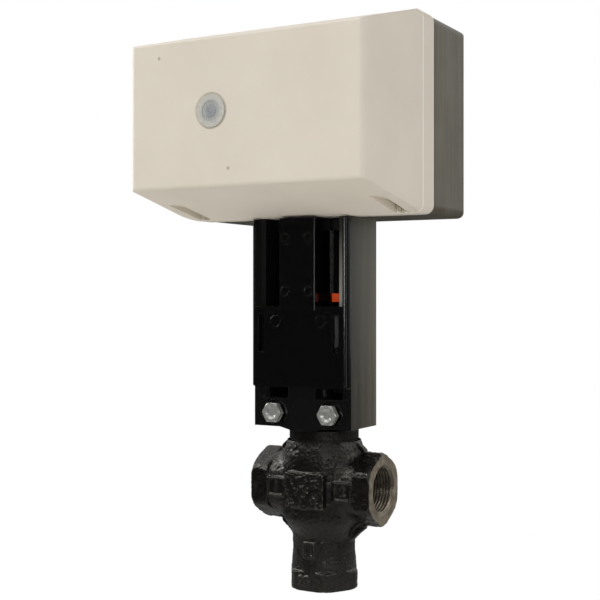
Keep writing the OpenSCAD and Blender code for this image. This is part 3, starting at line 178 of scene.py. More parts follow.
class Nodes(Tree):
    """A material's node tree; its masks take object coordinates in millimetres."""

    def __init__(self, name):
        self.material = bpy.data.materials.new(name)
        self.material.use_nodes = True
        super().__init__(self.material.node_tree)
        self.shader = self.tree.nodes["Principled BSDF"]
        self.coord = self.add("ShaderNodeTexCoord").outputs

    def mapped(self, stretch=(1, 1, 1)):
        """Object coordinates in millimetres, stretched."""
        m = self.add("ShaderNodeMapping")
        m.inputs["Scale"].default_value = [1000 * s for s in stretch]
        self.link(self.coord["Object"], m.inputs["Vector"])
        return m.outputs["Vector"]

    def noise(self, size, detail=4, rough=0.55, stretch=(1, 1, 1)):
        """Noise from 0 to 1 whose features are about size millimetres."""
        n = self.add("ShaderNodeTexNoise")
        self.link(self.mapped(stretch), n.inputs["Vector"])
        n.inputs["Scale"].default_value = 1 / size
        n.inputs["Detail"].default_value = detail
        n.inputs["Roughness"].default_value = rough
        return n.outputs["Fac"]

    def cells(self, size):
        """Rounded pits that are about size millimetres apart."""
        v = self.add("ShaderNodeTexVoronoi", feature="SMOOTH_F1")
        self.link(self.mapped(), v.inputs["Vector"])
        v.inputs["Scale"].default_value = 1 / size
        return v.outputs["Distance"]

    def mix(self, factor, a, b):
        """A colour between a and b, each a tuple or a socket."""
        m = self.add("ShaderNodeMix", data_type="RGBA")
        self.link(factor, m.inputs[0])
        for socket, v in ((m.inputs[6], a), (m.inputs[7], b)):
            if isinstance(v, tuple):
                socket.default_value = (*v, 1)
            else:
                self.link(v, socket)
        return m.outputs[2]

    def bump(self, height, mm, strength, below=None):
        """A bumped normal, on top of the one below it."""
        b = self.add("ShaderNodeBump")
        b.inputs["Strength"].default_value = strength
        b.inputs["Distance"].default_value = mm * MM
        self.link(height, b.inputs["Height"])
        if below is not None:
            self.link(below, b.inputs["Normal"])
        return b.outputs["Normal"]

    def soft_edges(self, radius):
        """A normal that rounds the edges by some millimetres."""
        b = self.add("ShaderNodeBevel", samples=4)
        b.inputs["Radius"].default_value = radius * MM
        return b.outputs["Normal"]

    def distance(self, point, weights):
        """Distance in millimetres from a point, with each axis counted or not."""
        away = self.add("ShaderNodeVectorMath", operation="SUBTRACT")
        self.link(self.mapped(), away.inputs[0])
        away.inputs[1].default_value = point
        along = self.add("ShaderNodeVectorMath", operation="MULTIPLY")
        self.link(away.outputs["Vector"], along.inputs[0])
        along.inputs[1].default_value = weights
        length = self.add("ShaderNodeVectorMath", operation="LENGTH")
        self.link(along.outputs["Vector"], length.inputs[0])
        return length.outputs["Value"]

    def axis(self, name, source="Object"):
        """One coordinate in metres, or one part of the normal."""
        split = self.add("ShaderNodeSeparateXYZ")
        self.link(self.coord[source], split.inputs[0])
        return split.outputs[name]

    def less(self, axis, mm):
        """A mask of all that lies below a place on an axis."""
        return self.math("LESS_THAN", self.axis(axis), mm * MM)

    def more(self, axis, mm):
        """A mask of all that lies above a place on an axis."""
        return self.math("GREATER_THAN", self.axis(axis), mm * MM)

    def fade(self, axis, low, high, to_low=0.0, to_high=1.0):
        """A soft step along an axis."""
        return self.span(self.axis(axis), low * MM, high * MM, to_low, to_high)

    def faces_front(self):
        """A mask of the faces that look to the front."""
        return self.math("LESS_THAN", self.axis("Y", "Normal"), -0.6)

    def finish(self, color=None, rough=None, normal=None, **fixed):
        """Links the shader's inputs, sets the fixed ones and gives the material."""
        for out, key in ((color, "Base Color"), (rough, "Roughness"), (normal, "Normal")):
            if out is not None:
                self.link(out, self.shader.inputs[key])
        for key, value in fixed.items():
            self.shader.inputs[key.replace("_", " ")].default_value = value
        return self.material


def metal(name, dark, light, rough, metallic=1.0, stretch=(1, 1, 1)):
    """Turned, sawn or plated metal: fine lines or grain over a slow change of tone."""
    n = Nodes(name)
    tone = n.noise(6, 5, 0.6, tuple(0.5 * s + 0.5 for s in stretch))
    fine = n.noise(0.25, 3, 0.6, stretch)
    color = n.mix(n.span(tone, 0.35, 0.7), dark, light)
    normal = n.bump(fine, 0.01, 0.6, n.soft_edges(0.25))
    return n.finish(color, n.span(fine, 0.3, 0.7, rough - 0.07, rough + 0.08), normal, Metallic=metallic)


def plastic(name, dark, light, rough, grain=0.35, bump=0.01, patch=14):
    """Moulded plastic: spark-eroded grain and a faint change of tone."""
    n = Nodes(name)
    tone = n.noise(patch, 4, 0.5)
    fine = n.noise(grain, 4, 0.65)
    color = n.mix(n.span(tone, 0.3, 0.7), dark, light)
    normal = n.bump(fine, bump, 0.5, n.soft_edges(0.3))
    return n.finish(color, n.span(fine, 0.3, 0.7, rough - 0.05, rough + 0.06), normal)


def cast_black():
    """Black paint over a sand casting: brown patches, lighter edges of worn paint and painted highlight,
    grains, pits and a wet-looking sheen.
    """
    n = Nodes("cast_iron_black")
    wide = n.noise(9, 4, 0.6)
    grains = n.noise(1.5, 6, 0.72)
    fine = n.noise(0.55, 4, 0.7)
    pits = n.cells(2.1)
    color = n.mix(n.span(grains, 0.42, 0.7), (0.002, 0.0019, 0.0017), (0.0075, 0.0068, 0.0055))
    color = n.mix(n.span(wide, 0.6, 0.8, 0.0, 0.5), color, (0.03, 0.025, 0.018))
    color = n.mix(n.span(fine, 0.68, 0.78, 0.0, 0.35), color, (0.09, 0.08, 0.065))
    # worn paint and painted highlight: convex edges, the numerals' and frames' too, turn lighter
    edges = n.span(n.add("ShaderNodeNewGeometry").outputs["Pointiness"], 0.52, 0.57)
    worn_and_lit_edges = n.both(edges, n.span(grains, 0.4, 0.6))
    color = n.mix(n.both(worn_and_lit_edges, 0.8), color, (0.11, 0.1, 0.08))
    normal = n.bump(wide, 0.5, 0.6)
    normal = n.bump(grains, 0.32, 0.7, normal)
    normal = n.bump(pits, 0.15, 0.5, normal)
    normal = n.bump(fine, 0.03, 0.5, normal)
    rough = n.math("ADD", n.span(grains, 0.3, 0.7, 0.2, 0.34), n.span(wide, 0.3, 0.7, 0.0, 0.1))
    return n.finish(color, rough, normal, Specular_IOR_Level=0.66, Specular_Tint=(1.0, 0.95, 0.86, 1.0))


def machined(name, centre, weights):
    """A bare turned face: rings about the port's axis, with a brown-grey film."""
    n = Nodes(name)
    rings = n.math("SINE", n.both(n.distance(centre, weights), 2 * math.pi / 0.55))
    tone = n.noise(5, 5, 0.6)
    color = n.mix(n.span(tone, 0.35, 0.7), (0.25, 0.213, 0.16), (0.5, 0.435, 0.335))
    normal = n.bump(rings, 0.012, 0.7)
    normal = n.bump(n.noise(0.5, 4, 0.7), 0.03, 0.5, normal)
    return n.finish(color, n.span(tone, 0.3, 0.7, 0.3, 0.44), normal, Metallic=0.6)


def cover_cream():
    """Cream moulding with a fine eroded grain, a little dirt, two pin marks and a painted highlight along
    the rim step.
    """
    pin_marks = ((-62.9, 359.0), (-9.4, 284.8))
    rim_highlight_y = -33.6
    n = Nodes("cover_cream")
    fine = n.noise(0.5, 4, 0.7)
    wide = n.noise(45, 3, 0.5)
    specks = n.noise(3.2, 2, 0.5)
    color = n.mix(n.span(wide, 0.3, 0.7), (0.65, 0.591, 0.505), (0.685, 0.627, 0.539))
    color = n.mix(n.span(specks, 0.73, 0.8, 0.0, 0.3), color, (0.56, 0.51, 0.42))
    for x, z in pin_marks:
        off = n.distance((x, 0, z), (1, 0, 1))
        mark = n.both(n.span(off, 1.3, 0.9), n.less("Y", COVER_FRONT_Y + 1.5))
        color = n.mix(n.both(mark, 0.55), color, (0.2, 0.17, 0.12))
    # painted highlight: a light line along the edge of the rim step
    off = n.distance((0, rim_highlight_y, 0), (0, 1, 0))
    color = n.mix(n.span(off, 0.8, 0.3, 0.0, 0.9), color, (0.88, 0.85, 0.77))
    normal = n.bump(fine, 0.02, 0.45, n.soft_edges(0.5))
    return n.finish(color, n.span(fine, 0.3, 0.7, 0.5, 0.62), normal, Specular_IOR_Level=0.35)


def housing_olive():
    """Painted die casting whose sheen is drawn out in upright streaks, with a dark seam at the cover."""
    n = Nodes("die_cast_olive")
    streak = n.noise(2.6, 5, 0.6, (1, 1, 0.035))
    fine = n.noise(0.6, 3, 0.6, (1, 1, 0.12))
    wide = n.noise(30, 3, 0.5)
    color = n.mix(n.span(streak, 0.3, 0.72), (0.066, 0.057, 0.04), (0.168, 0.151, 0.109))
    color = n.mix(n.span(wide, 0.45, 0.8, 0.0, 0.5), color, (0.17, 0.16, 0.13))
    seam = n.fade("Y", HOUSING_FRONT_Y + 1.5, HOUSING_FRONT_Y + 0.5, 0.0, 0.85)
    color = n.mix(seam, color, (0.012, 0.011, 0.009))
    normal = n.bump(fine, 0.02, 0.6, n.soft_edges(0.7))
    return n.finish(color, n.span(streak, 0.3, 0.7, 0.34, 0.5), normal, Metallic=0.15)


def column_dark(name="die_cast_dark", bay=1.0):
    """Olive-dark satin paint, glossy black on the clamp's front, with painted shade in the bay and painted
    light on the window's lip; bay says how much painted shade darkens the bay inside.
    """
    ledge_x = 27
    ledge_low_z = 196
    black = (0.006, 0.006, 0.0055)
    n = Nodes(name)
    streak = n.noise(5.0, 4, 0.55, (1, 1, 0.04))
    fine = n.noise(0.7, 4, 0.65)
    color = n.mix(n.span(streak, 0.3, 0.72), (0.084, 0.077, 0.056), (0.152, 0.141, 0.106))
    # painted shade: the sides darken towards the front
    color = n.mix(n.fade("Y", -36, 8, 0.93, 0.0), color, (0.014, 0.0135, 0.0115))
    # painted shade inside the bay: its round back, and the room between its walls in front of the axis
    in_round = n.math("LESS_THAN", n.distance((0, 0, 0), (1, 1, 0)), BAY_R + 0.3)
    between = n.math("LESS_THAN", n.distance((0, 0, 0), (1, 0, 0)), BAY_R)
    inside = n.math("MAXIMUM", in_round, n.both(n.less("Y", 0), between))
    color = n.mix(n.both(inside, bay), color, black)
    # painted shade on the bay's left wall, but not on the column's left side
    left = n.both(n.less("X", -20), n.math("GREATER_THAN", n.axis("X", "Normal"), -0.5))
    color = n.mix(n.both(left, n.less("Y", 6)), color, black)
    # painted light on the window's right-hand lip, brighter lower down, out of the head's shadow
    lit_ledge = n.both(n.more("X", ledge_x), n.faces_front())
    lit_ledge = n.both(lit_ledge, n.more("Z", ledge_low_z))
    color = n.mix(n.both(lit_ledge, n.fade("Z", 250, 200, 0.0, 0.95)), color, (0.34, 0.325, 0.29))
    clamp_front = n.both(n.faces_front(), n.less("Z", CLAMP_TOP_Z))
    color = n.mix(clamp_front, color, (0.0035, 0.0035, 0.0034))
    rough = n.math("ADD", n.span(streak, 0.3, 0.7, 0.32, 0.42), n.both(clamp_front, -0.24))
    n.link(clamp_front, n.shader.inputs["Coat Weight"])
    normal = n.bump(fine, 0.02, 0.45, n.soft_edges(0.5))
    return n.finish(color, rough, normal, Specular_IOR_Level=0.5, Coat_Roughness=0.07, Coat_IOR=2.2)


def moulding_black():
    """Glossy black moulding: faint flow waves, hairline scratches, dust and rings of ejector pins."""
    pins = ((8.3, 242.6), (8.3, 207.4), (22.4, 189.6))
    pin_r = 3.6
    n = Nodes("moulding_black")
    waves = n.noise(16, 2, 0.5)
    scratch = n.noise(0.5, 2, 0.5, (1, 1, 0.06))
    dust = n.noise(1.3, 4, 0.75)
    color = n.mix(n.span(dust, 0.68, 0.8, 0.0, 0.4), (0.0026, 0.0026, 0.0026), (0.013, 0.013, 0.012))
    normal = n.bump(waves, 0.02, 0.4, n.soft_edges(0.45))
    normal = n.bump(scratch, 0.003, 0.4, normal)
    for x, z in pins:
        for side in (1, -1):
            off = n.math("SUBTRACT", n.distance((side * x, 0, z), (1, 0, 1)), pin_r)
            normal = n.bump(n.span(n.math("ABSOLUTE", off), 0.55, 0.1), 0.12, 0.8, normal)
    return n.finish(color, n.span(dust, 0.4, 0.8, 0.12, 0.3), normal, Specular_IOR_Level=0.5)


def zinc():
    """Zinc plating with a crystal tone; the clamp's washers, behind the bolt heads, are dark."""
    n = Nodes("zinc")
    tone = n.noise(2.2, 5, 0.65)
    fine = n.noise(0.3, 3, 0.6)
    color = n.mix(n.span(tone, 0.3, 0.7), (0.5, 0.5, 0.47), (0.83, 0.83, 0.8))
    # the clamp's washers, behind the heads, are dark
    dark_washers = n.both(n.more("Y", CLAMP_WASHERS_Y), n.less("Z", CLAMP_TOP_Z))
    color = n.mix(dark_washers, color, (0.006, 0.006, 0.006))
    normal = n.bump(tone, 0.05, 0.5, n.soft_edges(0.45))
    normal = n.bump(fine, 0.012, 0.5, normal)
    return n.finish(color, n.span(fine, 0.3, 0.7, 0.15, 0.28), normal, Metallic=0.72)


def plug_clear():
    """Cloudy grey plug with faint turned rings and a lighter rim."""
    n = Nodes("plug_clear")
    tone = n.noise(4, 3, 0.5)
    off = n.distance((PLUG_X, 0, PLUG_Z), (1, 0, 1))
    rings = n.math("SINE", n.both(off, 2 * math.pi / 1.9))
    color = n.mix(n.span(tone, 0.3, 0.7), (0.27, 0.29, 0.31), (0.33, 0.35, 0.37))
    color = n.mix(n.span(rings, 0.2, 1.0, 0.0, 0.2), color, (0.5, 0.51, 0.52))
    color = n.mix(n.span(off, 2.5, 8.5), color, (0.56, 0.55, 0.5))
    normal = n.bump(rings, 0.03, 0.5, n.soft_edges(0.3))
    return n.finish(color, n.span(tone, 0.3, 0.7, 0.22, 0.34), normal, Transmission_Weight=0.12, IOR=1.45)


def pointer_orange():
    """Glossy orange moulding, with painted shade on the arm where it lies in the bay."""
    flag_x = 19.5
    n = Nodes("pointer_orange")
    tone = n.noise(14, 4, 0.5)
    fine = n.noise(0.35, 4, 0.65)
    color = n.mix(n.span(tone, 0.3, 0.7), (0.95, 0.085, 0.006), (1.0, 0.115, 0.012))
    # painted shade on the arm, left of the flag
    color = n.mix(n.fade("X", flag_x, flag_x - 0.7), color, (0.16, 0.012, 0.002))
    normal = n.bump(fine, 0.006, 0.5, n.soft_edges(0.4))
    return n.finish(color, n.span(fine, 0.3, 0.7, 0.22, 0.34), normal)


def coupling_white():
    """White zinc on the coupling, with painted shade on its head under the pointer."""
    head_z = 192
    n = Nodes("coupling_white_zinc")
    tone = n.noise(5, 4, 0.6)
    fine = n.noise(0.4, 3, 0.6)
    color = n.mix(n.span(tone, 0.3, 0.7), (0.74, 0.72, 0.66), (0.88, 0.86, 0.8))
    # painted shade on the coupling's head, under the pointer
    color = n.mix(n.fade("Z", head_z, head_z + 0.5), color, (0.012, 0.012, 0.011))
    normal = n.bump(fine, 0.01, 0.5, n.soft_edges(0.3))
    return n.finish(color, n.span(fine, 0.3, 0.7, 0.34, 0.46), normal)


# One material for each slot of the record
MATERIALS = {
    "cast_iron_black": cast_black(),
    "die_cast_dark": column_dark(),
    "jaw_cast": column_dark("jaw_cast", bay=0.0),
    "die_cast_olive": housing_olive(),
    "cover_cream": cover_cream(),
    "plug_clear": plug_clear(),
    "moulding_black": moulding_black(),
    "pointer_orange": pointer_orange(),
    "zinc": zinc(),
    "steel": metal("steel", (0.36, 0.355, 0.34), (0.62, 0.61, 0.58), 0.28,
                   metallic=0.6, stretch=(1, 1, 0.1)),
    "gear_plate_steel": metal("gear_plate_steel", (0.42, 0.38, 0.24), (0.66, 0.6, 0.4), 0.36,
                              stretch=(0.1, 1, 1)),
    "brass": metal("brass", (0.3, 0.2, 0.07), (0.5, 0.36, 0.15), 0.32),
    "gear_resin": plastic("gear_resin", (0.6, 0.54, 0.4), (0.7, 0.64, 0.5), 0.42),
    "guide_resin": plastic("guide_resin", (0.7, 0.68, 0.6), (0.8, 0.78, 0.71), 0.4),
    "packing_white": plastic("packing_white", (0.75, 0.75, 0.7), (0.84, 0.84, 0.8), 0.35),
    "gasket_fibre": plastic("gasket_fibre", (0.012, 0.011, 0.01), (0.03, 0.028, 0.025), 0.7,
                            grain=0.4, bump=0.05),
    "seal_black": plastic("seal_black", (0.012, 0.012, 0.012), (0.03, 0.03, 0.03), 0.75, bump=0.03),
    "motor_can": metal("motor_can", (0.3, 0.3, 0.29), (0.5, 0.5, 0.48), 0.33, stretch=(1, 0.12, 1)),
    "switch_black": plastic("switch_black", (0.012, 0.012, 0.014), (0.03, 0.03, 0.034), 0.45),
    "cam_blue": plastic("cam_blue", (0.02, 0.06, 0.25), (0.04, 0.1, 0.36), 0.4),
    "terminal_grey": plastic("terminal_grey", (0.38, 0.41, 0.37), (0.5, 0.53, 0.48), 0.5),
    "board_green": plastic("board_green", (0.012, 0.1, 0.035), (0.03, 0.17, 0.07), 0.35,
                           grain=1.2, bump=0.02, patch=5),
    "capacitor_blue": plastic("capacitor_blue", (0.015, 0.05, 0.2), (0.03, 0.09, 0.3), 0.3),
    "gland_grey": plastic("gland_grey", (0.035, 0.035, 0.034), (0.065, 0.065, 0.062), 0.5),
}
# Pieces whose finish differs from the rest of their slot
# painted shade: the gland nut and the stem are dark metal, for the shade inside the clamp's notch
SHADE_DARK_STEEL = metal("shade_dark_steel", (0.03, 0.028, 0.025), (0.07, 0.066, 0.06), 0.4, metallic=0.7)
OWN = {
    "stem_coupling": coupling_white(),
    "cover_screws": metal("cover_screw_yellow", (0.5, 0.45, 0.34), (0.62, 0.57, 0.45), 0.4,
                          metallic=0.2),
    "gland_nut": SHADE_DARK_STEEL,
    "valve_stem": SHADE_DARK_STEEL,
}
slot_of = {s["node"]: s["material_slot"] for s in frame["record"]["subparts"]}
for name, obj in nodes.items():
    obj.data.materials.clear()
    obj.data.materials.append(OWN.get(name) or MATERIALS[slot_of[name]])


# Mesh helpers, in millimetres
def new_object(name, bm, *materials):
    """An object from a bmesh, which is freed."""
    mesh = bpy.data.meshes.new(name)
    bm.to_mesh(mesh)
    bm.free()
    obj = bpy.data.objects.new(name, mesh)
    bpy.context.scene.collection.objects.link(obj)
    for m in materials:
        mesh.materials.append(m)
    return obj


def remeshed(obj, size, rounds):
    """The closed outside of overlapping solids, as even quads, with its corners softened."""
    skin = obj.modifiers.new("remesh", "REMESH")
    skin.mode = "VOXEL"
    skin.voxel_size = size
    smooth = obj.modifiers.new("smooth", "SMOOTH")
    smooth.factor = 0.5
    smooth.iterations = rounds
    graph = bpy.context.evaluated_depsgraph_get()
    mesh = bpy.data.meshes.new_from_object(obj.evaluated_get(graph))
    bpy.data.objects.remove(obj)
    bm = bmesh.new()
    bm.from_mesh(mesh)
    bpy.data.meshes.remove(mesh)
    return bm


def circle(r, z, segments):
    """Points on a circle about Z."""
    turns = [2 * math.pi * k / segments for k in range(segments)]
    return [Vector((r * math.cos(a), r * math.sin(a), z)) for a in turns]


def prism(bm, outline, low, high, matrix):
    """A closed solid from an outline in XY, from low to high along Z, put in place by matrix."""
    rings = [[bm.verts.new(matrix @ Vector((x, y, z))) for x, y in outline] for z in (low, high)]
    n = len(outline)
    for i in range(n):
        bm.faces.new((rings[0][i], rings[0][(i + 1) % n], rings[1][(i + 1) % n], rings[1][i]))
    bm.faces.new(rings[1])
    bm.faces.new(rings[0][::-1])


def rounded(w, h, r):
    """The outline of a rectangle with round corners."""
    steps = 6
    x = w / 2 - r
    y = h / 2 - r
    points = []
    for cx, cy, start in ((x, y, 0), (-x, y, 90), (-x, -y, 180), (x, -y, 270)):
        for k in range(steps + 1):
            a = math.radians(start + 90 * k / steps)
            points.append((cx + r * math.cos(a), cy + r * math.sin(a)))
    return points


def lathe(bm, profile, matrix=Matrix.Identity(4)):
    """A closed solid of revolution from (radius, z) pairs, whose ends lie on the axis."""
    segments = 96
    rows = []
    for r, z in profile:
        points = [Vector((0, 0, z))] if r == 0 else circle(r, z, segments)
        rows.append([bm.verts.new(matrix @ p) for p in points])
    for a, b in zip(rows, rows[1:]):
        for k in range(segments):
            j = (k + 1) % segments
            ring = [a[0] if len(a) == 1 else a[k], a[0] if len(a) == 1 else a[j],
                    b[0] if len(b) == 1 else b[j], b[0] if len(b) == 1 else b[k]]
            unique = list(dict.fromkeys(ring))
            if len(unique) > 2:
                bm.faces.new(unique)


def cut_flat(bm, point, normal):
    """Takes away all that lies past a plane and leaves the cut open."""
    everything = bm.verts[:] + bm.edges[:] + bm.faces[:]
    bmesh.ops.bisect_plane(bm, geom=everything, plane_co=point, plane_no=normal, clear_outer=True,
                           dist=1e-4)


def cad_mesh(node):
    """A copy of a CAD node's mesh, in millimetres."""
    bm = bmesh.new()
    bm.from_mesh(nodes[node].data)
    bmesh.ops.scale(bm, vec=(1000, 1000, 1000), verts=bm.verts)
    return bm


def take_over(name, bm, node, slot, *materials):
    """Puts a mesh in millimetres in a CAD node's place."""
    bmesh.ops.scale(bm, vec=(MM, MM, MM), verts=bm.verts)
    obj = new_object(name, bm, MATERIALS[slot], *materials)
    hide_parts(node)
    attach(obj, "frame")


# Valve body
def port_frames():
    """Each port's own frame, the lower port first; z runs from the face into the body."""
    yield Matrix.Identity(4)
    for side in (1, -1):
        yield (Matrix.Translation((side * FACE_TO_FACE / 2, 0, PORT_AXIS_Z))
               @ Matrix.Rotation(math.radians(-90 * side), 4, "Y"))


def soft_forms():
    """Barrel and branches under one skin, with soft fillets.

    They start a skin further out, because the smoothing draws them in, and run past the faces cut later.
    """
    bm = bmesh.new()
    r = BARREL_D / 2
    lathe(bm, [(0, RIB_FOOT_Z), (17.5, 34.2), (21, 37), (r - 0.6, 46), (r + SKIN, 50), (r + SKIN, 90),
               (r - 0.2, 97), (25.6, 104), (24.6, 108), (24.6, 116), (0, 116)])
    r = LOWER_BRANCH_D / 2 + SKIN
    lathe(bm, [(0, -8), (HEX_CORE_R, -8), (HEX_CORE_R, PORT_HEX_LEN), (r, 22), (r, 60), (0, 60)])
    r = BRANCH_D / 2 + SKIN
    for side in (1, -1):
        turn = Matrix.Translation((0, 0, PORT_AXIS_Z)) @ Matrix.Rotation(side * math.pi / 2, 4, "Y")
        lathe(bm, [(0, -2), (r, -2), (r, 30), (HEX_CORE_R, 36), (HEX_CORE_R, 56), (0, 56)], turn)
    return remeshed(new_object("casting", bm), SOFT_VOXEL, SOFT_ROUNDS)


def ribs(bm):
    """The thin web left and right of the barrel, in two halves."""
    split_z = 70
    lower = [(0, split_z), (RIB_REACH, split_z), (RIB_REACH, PORT_AXIS_Z - PORT_ROUND_D / 2),
             (23.2, RIB_FOOT_Z), (0, RIB_FOOT_Z)]
    upper = [(0, split_z), (RIB_REACH, split_z), (RIB_REACH, 95.4), (29.3, 101.0),
             (24.5, 102.2), (0, 102.2)]
    for outline in (lower, upper):
        for side in (1, -1):
            prism(bm, [(side * x, z) for x, z in outline][::side], -RIB_T / 2, RIB_T / 2, TO_FRONT)


def pad(bm, x, z, w, h, front, framed):
    """A raised pad on the front; a framed one has a sunk field."""
    at = Matrix.Translation((x, 0, z)) @ TO_FRONT
    prism(bm, rounded(w, h, PAD_CORNER_R), 0, front - PAD_SINK * framed, at)
    if not framed:
        return
    bars = ((0, 1, w, PAD_FRAME_W), (0, -1, w, PAD_FRAME_W),
            (1, 0, PAD_FRAME_W, h), (-1, 0, PAD_FRAME_W, h))
    for side_x, side_y, bar_w, bar_h in bars:
        move_x = side_x * (w - PAD_FRAME_W) / 2
        move_y = side_y * (h - PAD_FRAME_W) / 2
        bar = [(px + move_x, py + move_y) for px, py in rounded(bar_w, bar_h, 0.3)]
        prism(bm, bar, front - PAD_FRAME_DEPTH, front, at)


def numeral(bm, text, x, z, front, height):
    """A raised numeral."""
    curve = bpy.data.curves.new("numeral", "FONT")
    curve.body = text
    curve.size = height
    curve.align_x = "CENTER"
    curve.align_y = "CENTER"
    curve.extrude = NUMERAL_HALF_T
    curve.offset = 0.36
    obj = bpy.data.objects.new("numeral", curve)
    bpy.context.scene.collection.objects.link(obj)
    bpy.context.view_layer.update()
    mesh = bpy.data.meshes.new_from_object(obj.evaluated_get(bpy.context.evaluated_depsgraph_get()))
    mesh.transform(Matrix.Translation((x, NUMERAL_HALF_T - front, z)) @ TO_FRONT)
    bm.from_mesh(mesh)
    bpy.data.objects.remove(obj)
    bpy.data.meshes.remove(mesh)


def crisp_forms(bm):
    """Hexagons, ribs, pads and numerals, which keep their edges."""
    corner_r = PORT_FLATS / 2 / math.cos(math.pi / 6)
    hexagon = [(p.x, p.y) for p in circle(corner_r, 0, 6)]
    for port in port_frames():
        prism(bm, hexagon, -3, PORT_HEX_LEN, port)
    ribs(bm)
    pad(bm, 0, PORT_AXIS_Z, CENTRE_PAD_W, CENTRE_PAD_H, CENTRE_PAD_FRONT, False)
    for side in (1, -1):
        pad(bm, side * SIDE_PAD_X, PORT_AXIS_Z, SIDE_PAD_W, SIDE_PAD_H, SIDE_PAD_FRONT, True)
    pad(bm, 0, LOWER_PAD_Z, LOWER_PAD_W, LOWER_PAD_H, LOWER_PAD_FRONT, True)
    numeral(bm, "1", -SIDE_PAD_X, PORT_AXIS_Z, SIDE_PAD_FRONT - NUMERAL_SINK, 10)
    numeral(bm, "2", SIDE_PAD_X, PORT_AXIS_Z, SIDE_PAD_FRONT - NUMERAL_SINK, 10)
    numeral(bm, "3", 0, LOWER_PAD_Z, LOWER_PAD_FRONT - NUMERAL_SINK, 8)
    numeral(bm, "25", HEX_MARK_X, HEX_MARK_Z, PORT_FLATS / 2 + HEX_MARK_PROUD, 9)


def turned_corners(bm):
    """Rounds the hexagons' corners and chamfers their outer ends."""
    for port in port_frames():
        back = port.inverted()
        for v in bm.verts:
            p = back @ v.co
            if not -4 < p.z < PORT_HEX_LEN + 0.5:
                continue
            limit = PORT_ROUND_D / 2 - max(0, PORT_CHAMFER - p.z)
            r = math.hypot(p.x, p.y)
            if r > limit:
                v.co = port @ Vector((p.x * limit / r, p.y * limit / r, p.z))


def sand_move(p):
    """How far the sand mould has moved the skin at a point: grains, pocks, and little on numerals."""
    coarse = noise.noise(p / 5.5)
    fine = noise.noise(p / 2.1) + 0.5 * noise.noise(p / 1.2 + Vector((7, 3, 1)))
    at_axis = abs(p.z - PORT_AXIS_Z)
    on_centre_pad = abs(p.x) < 14.5 and at_axis < 12 and p.y < -29
    pock_depth = 2.6 if on_centre_pad else 0.6
    pock = pock_depth * max(0, noise.noise(p / 1.7 + Vector((3, 9, 5))) - 0.08)
    on_side_pad = abs(abs(p.x) - SIDE_PAD_X) < 7.6 and at_axis < 7.5 and p.y < -19
    on_lower_pad = abs(p.x) < 5.4 and abs(p.z - LOWER_PAD_Z) < 6 and p.y < -19
    on_hexagon = abs(p.x - HEX_MARK_X) < 8 and p.z < 12 and p.y < -20
    calm = 0.2 if on_side_pad or on_lower_pad or on_hexagon else 1
    return calm * (0.3 * coarse + 0.2 * fine - pock)


def casting():
    """The rough casting: soft forms, then crisp ones, then sand texture; its flat faces are cut open."""
    bm = soft_forms()
    crisp_forms(bm)
    bm = remeshed(new_object("casting_fine", bm), FINE_VOXEL, FINE_ROUNDS)
    turned_corners(bm)
    bm.normal_update()
    moves = [v.normal * sand_move(v.co) for v in bm.verts]
    for v, move in zip(bm.verts, moves):
        v.co += move
    for f in bm.faces:
        f.smooth = True
    for port in port_frames():
        cut_flat(bm, port.translation, port.to_3x3() @ Vector((0, 0, -1)))
    cut_flat(bm, (0, 0, BODY_TOP_Z), (0, 0, 1))
    return bm


def bore_r(depth, turn):
    """The threaded bore's radius at a depth and a part of a turn, with a mouth and a run-out."""
    phase = (depth / THREAD_PITCH - turn) % 1
    wave = abs(2 * phase - 1)
    cut = THREAD_DEPTH * min(max((wave - THREAD_FLAT) / (1 - 2 * THREAD_FLAT), 0), 1)
    r = PORT_BORE_D / 2 + cut * min(1, (PORT_BORE_LEN - depth) / 1.5)
    return max(r, PORT_MOUTH_D / 2 - depth)


def flat_face(bm, port, kind):
    """Fills a port's cut with a flat face that has a round hole in it, and gives the hole's points."""
    normal = port.to_3x3() @ Vector((0, 0, -1))
    rim = []
    for e in bm.edges:
        if e.is_boundary and all(abs((v.co - port.translation).dot(normal)) < 2e-3 for v in e.verts):
            rim.append(e)
    hole = [bm.verts.new(port @ p) for p in circle(PORT_MOUTH_D / 2, 0, PORT_SEGMENTS)]
    inner = [bm.edges.new((a, b)) for a, b in zip(hole, hole[1:] + hole[:1])]
    filled = bmesh.ops.triangle_fill(bm, edges=rim + inner, use_beauty=True, normal=normal)
    for f in filled["geom"]:
        if isinstance(f, bmesh.types.BMFace):
            f.material_index = kind
            f.smooth = False
    return hole


def threaded_bore(bm, port, hole):
    """The thread's surface, row by row from the hole inwards."""
    rows = int(PORT_BORE_LEN / THREAD_PITCH * ROWS_PER_TURN)
    previous = hole
    for row in range(1, rows + 1):
        depth = PORT_BORE_LEN * row / rows
        current = []
        for k in range(PORT_SEGMENTS):
            turn = k / PORT_SEGMENTS
            r = bore_r(depth, turn)
            a = 2 * math.pi * turn
            current.append(bm.verts.new(port @ Vector((r * math.cos(a), r * math.sin(a), depth))))
        for k in range(PORT_SEGMENTS):
            j = (k + 1) % PORT_SEGMENTS
            f = bm.faces.new((previous[k], previous[j], current[j], current[k]))
            f.material_index = THREAD
            f.smooth = True
        previous = current


def on_ports_or_top(f):
    """Whether a face of the CAD solid belongs to what the cuts, flat faces and threads make anew."""
    c = f.calc_center_median()
    mouth = PORT_MOUTH_D / 2 + 0.1
    thread_end = PORT_BORE_LEN - 0.02
    in_side_port = abs(c.x) > FACE_TO_FACE / 2 - thread_end and math.hypot(c.y, c.z - PORT_AXIS_Z) < mouth
    in_low_port = c.z < thread_end and math.hypot(c.x, c.y) < mouth
    on_face = abs(abs(c.x) - FACE_TO_FACE / 2) < 0.01 or c.z < 0.01 or abs(c.z - BODY_TOP_Z) < 0.01
    return in_side_port or in_low_port or on_face


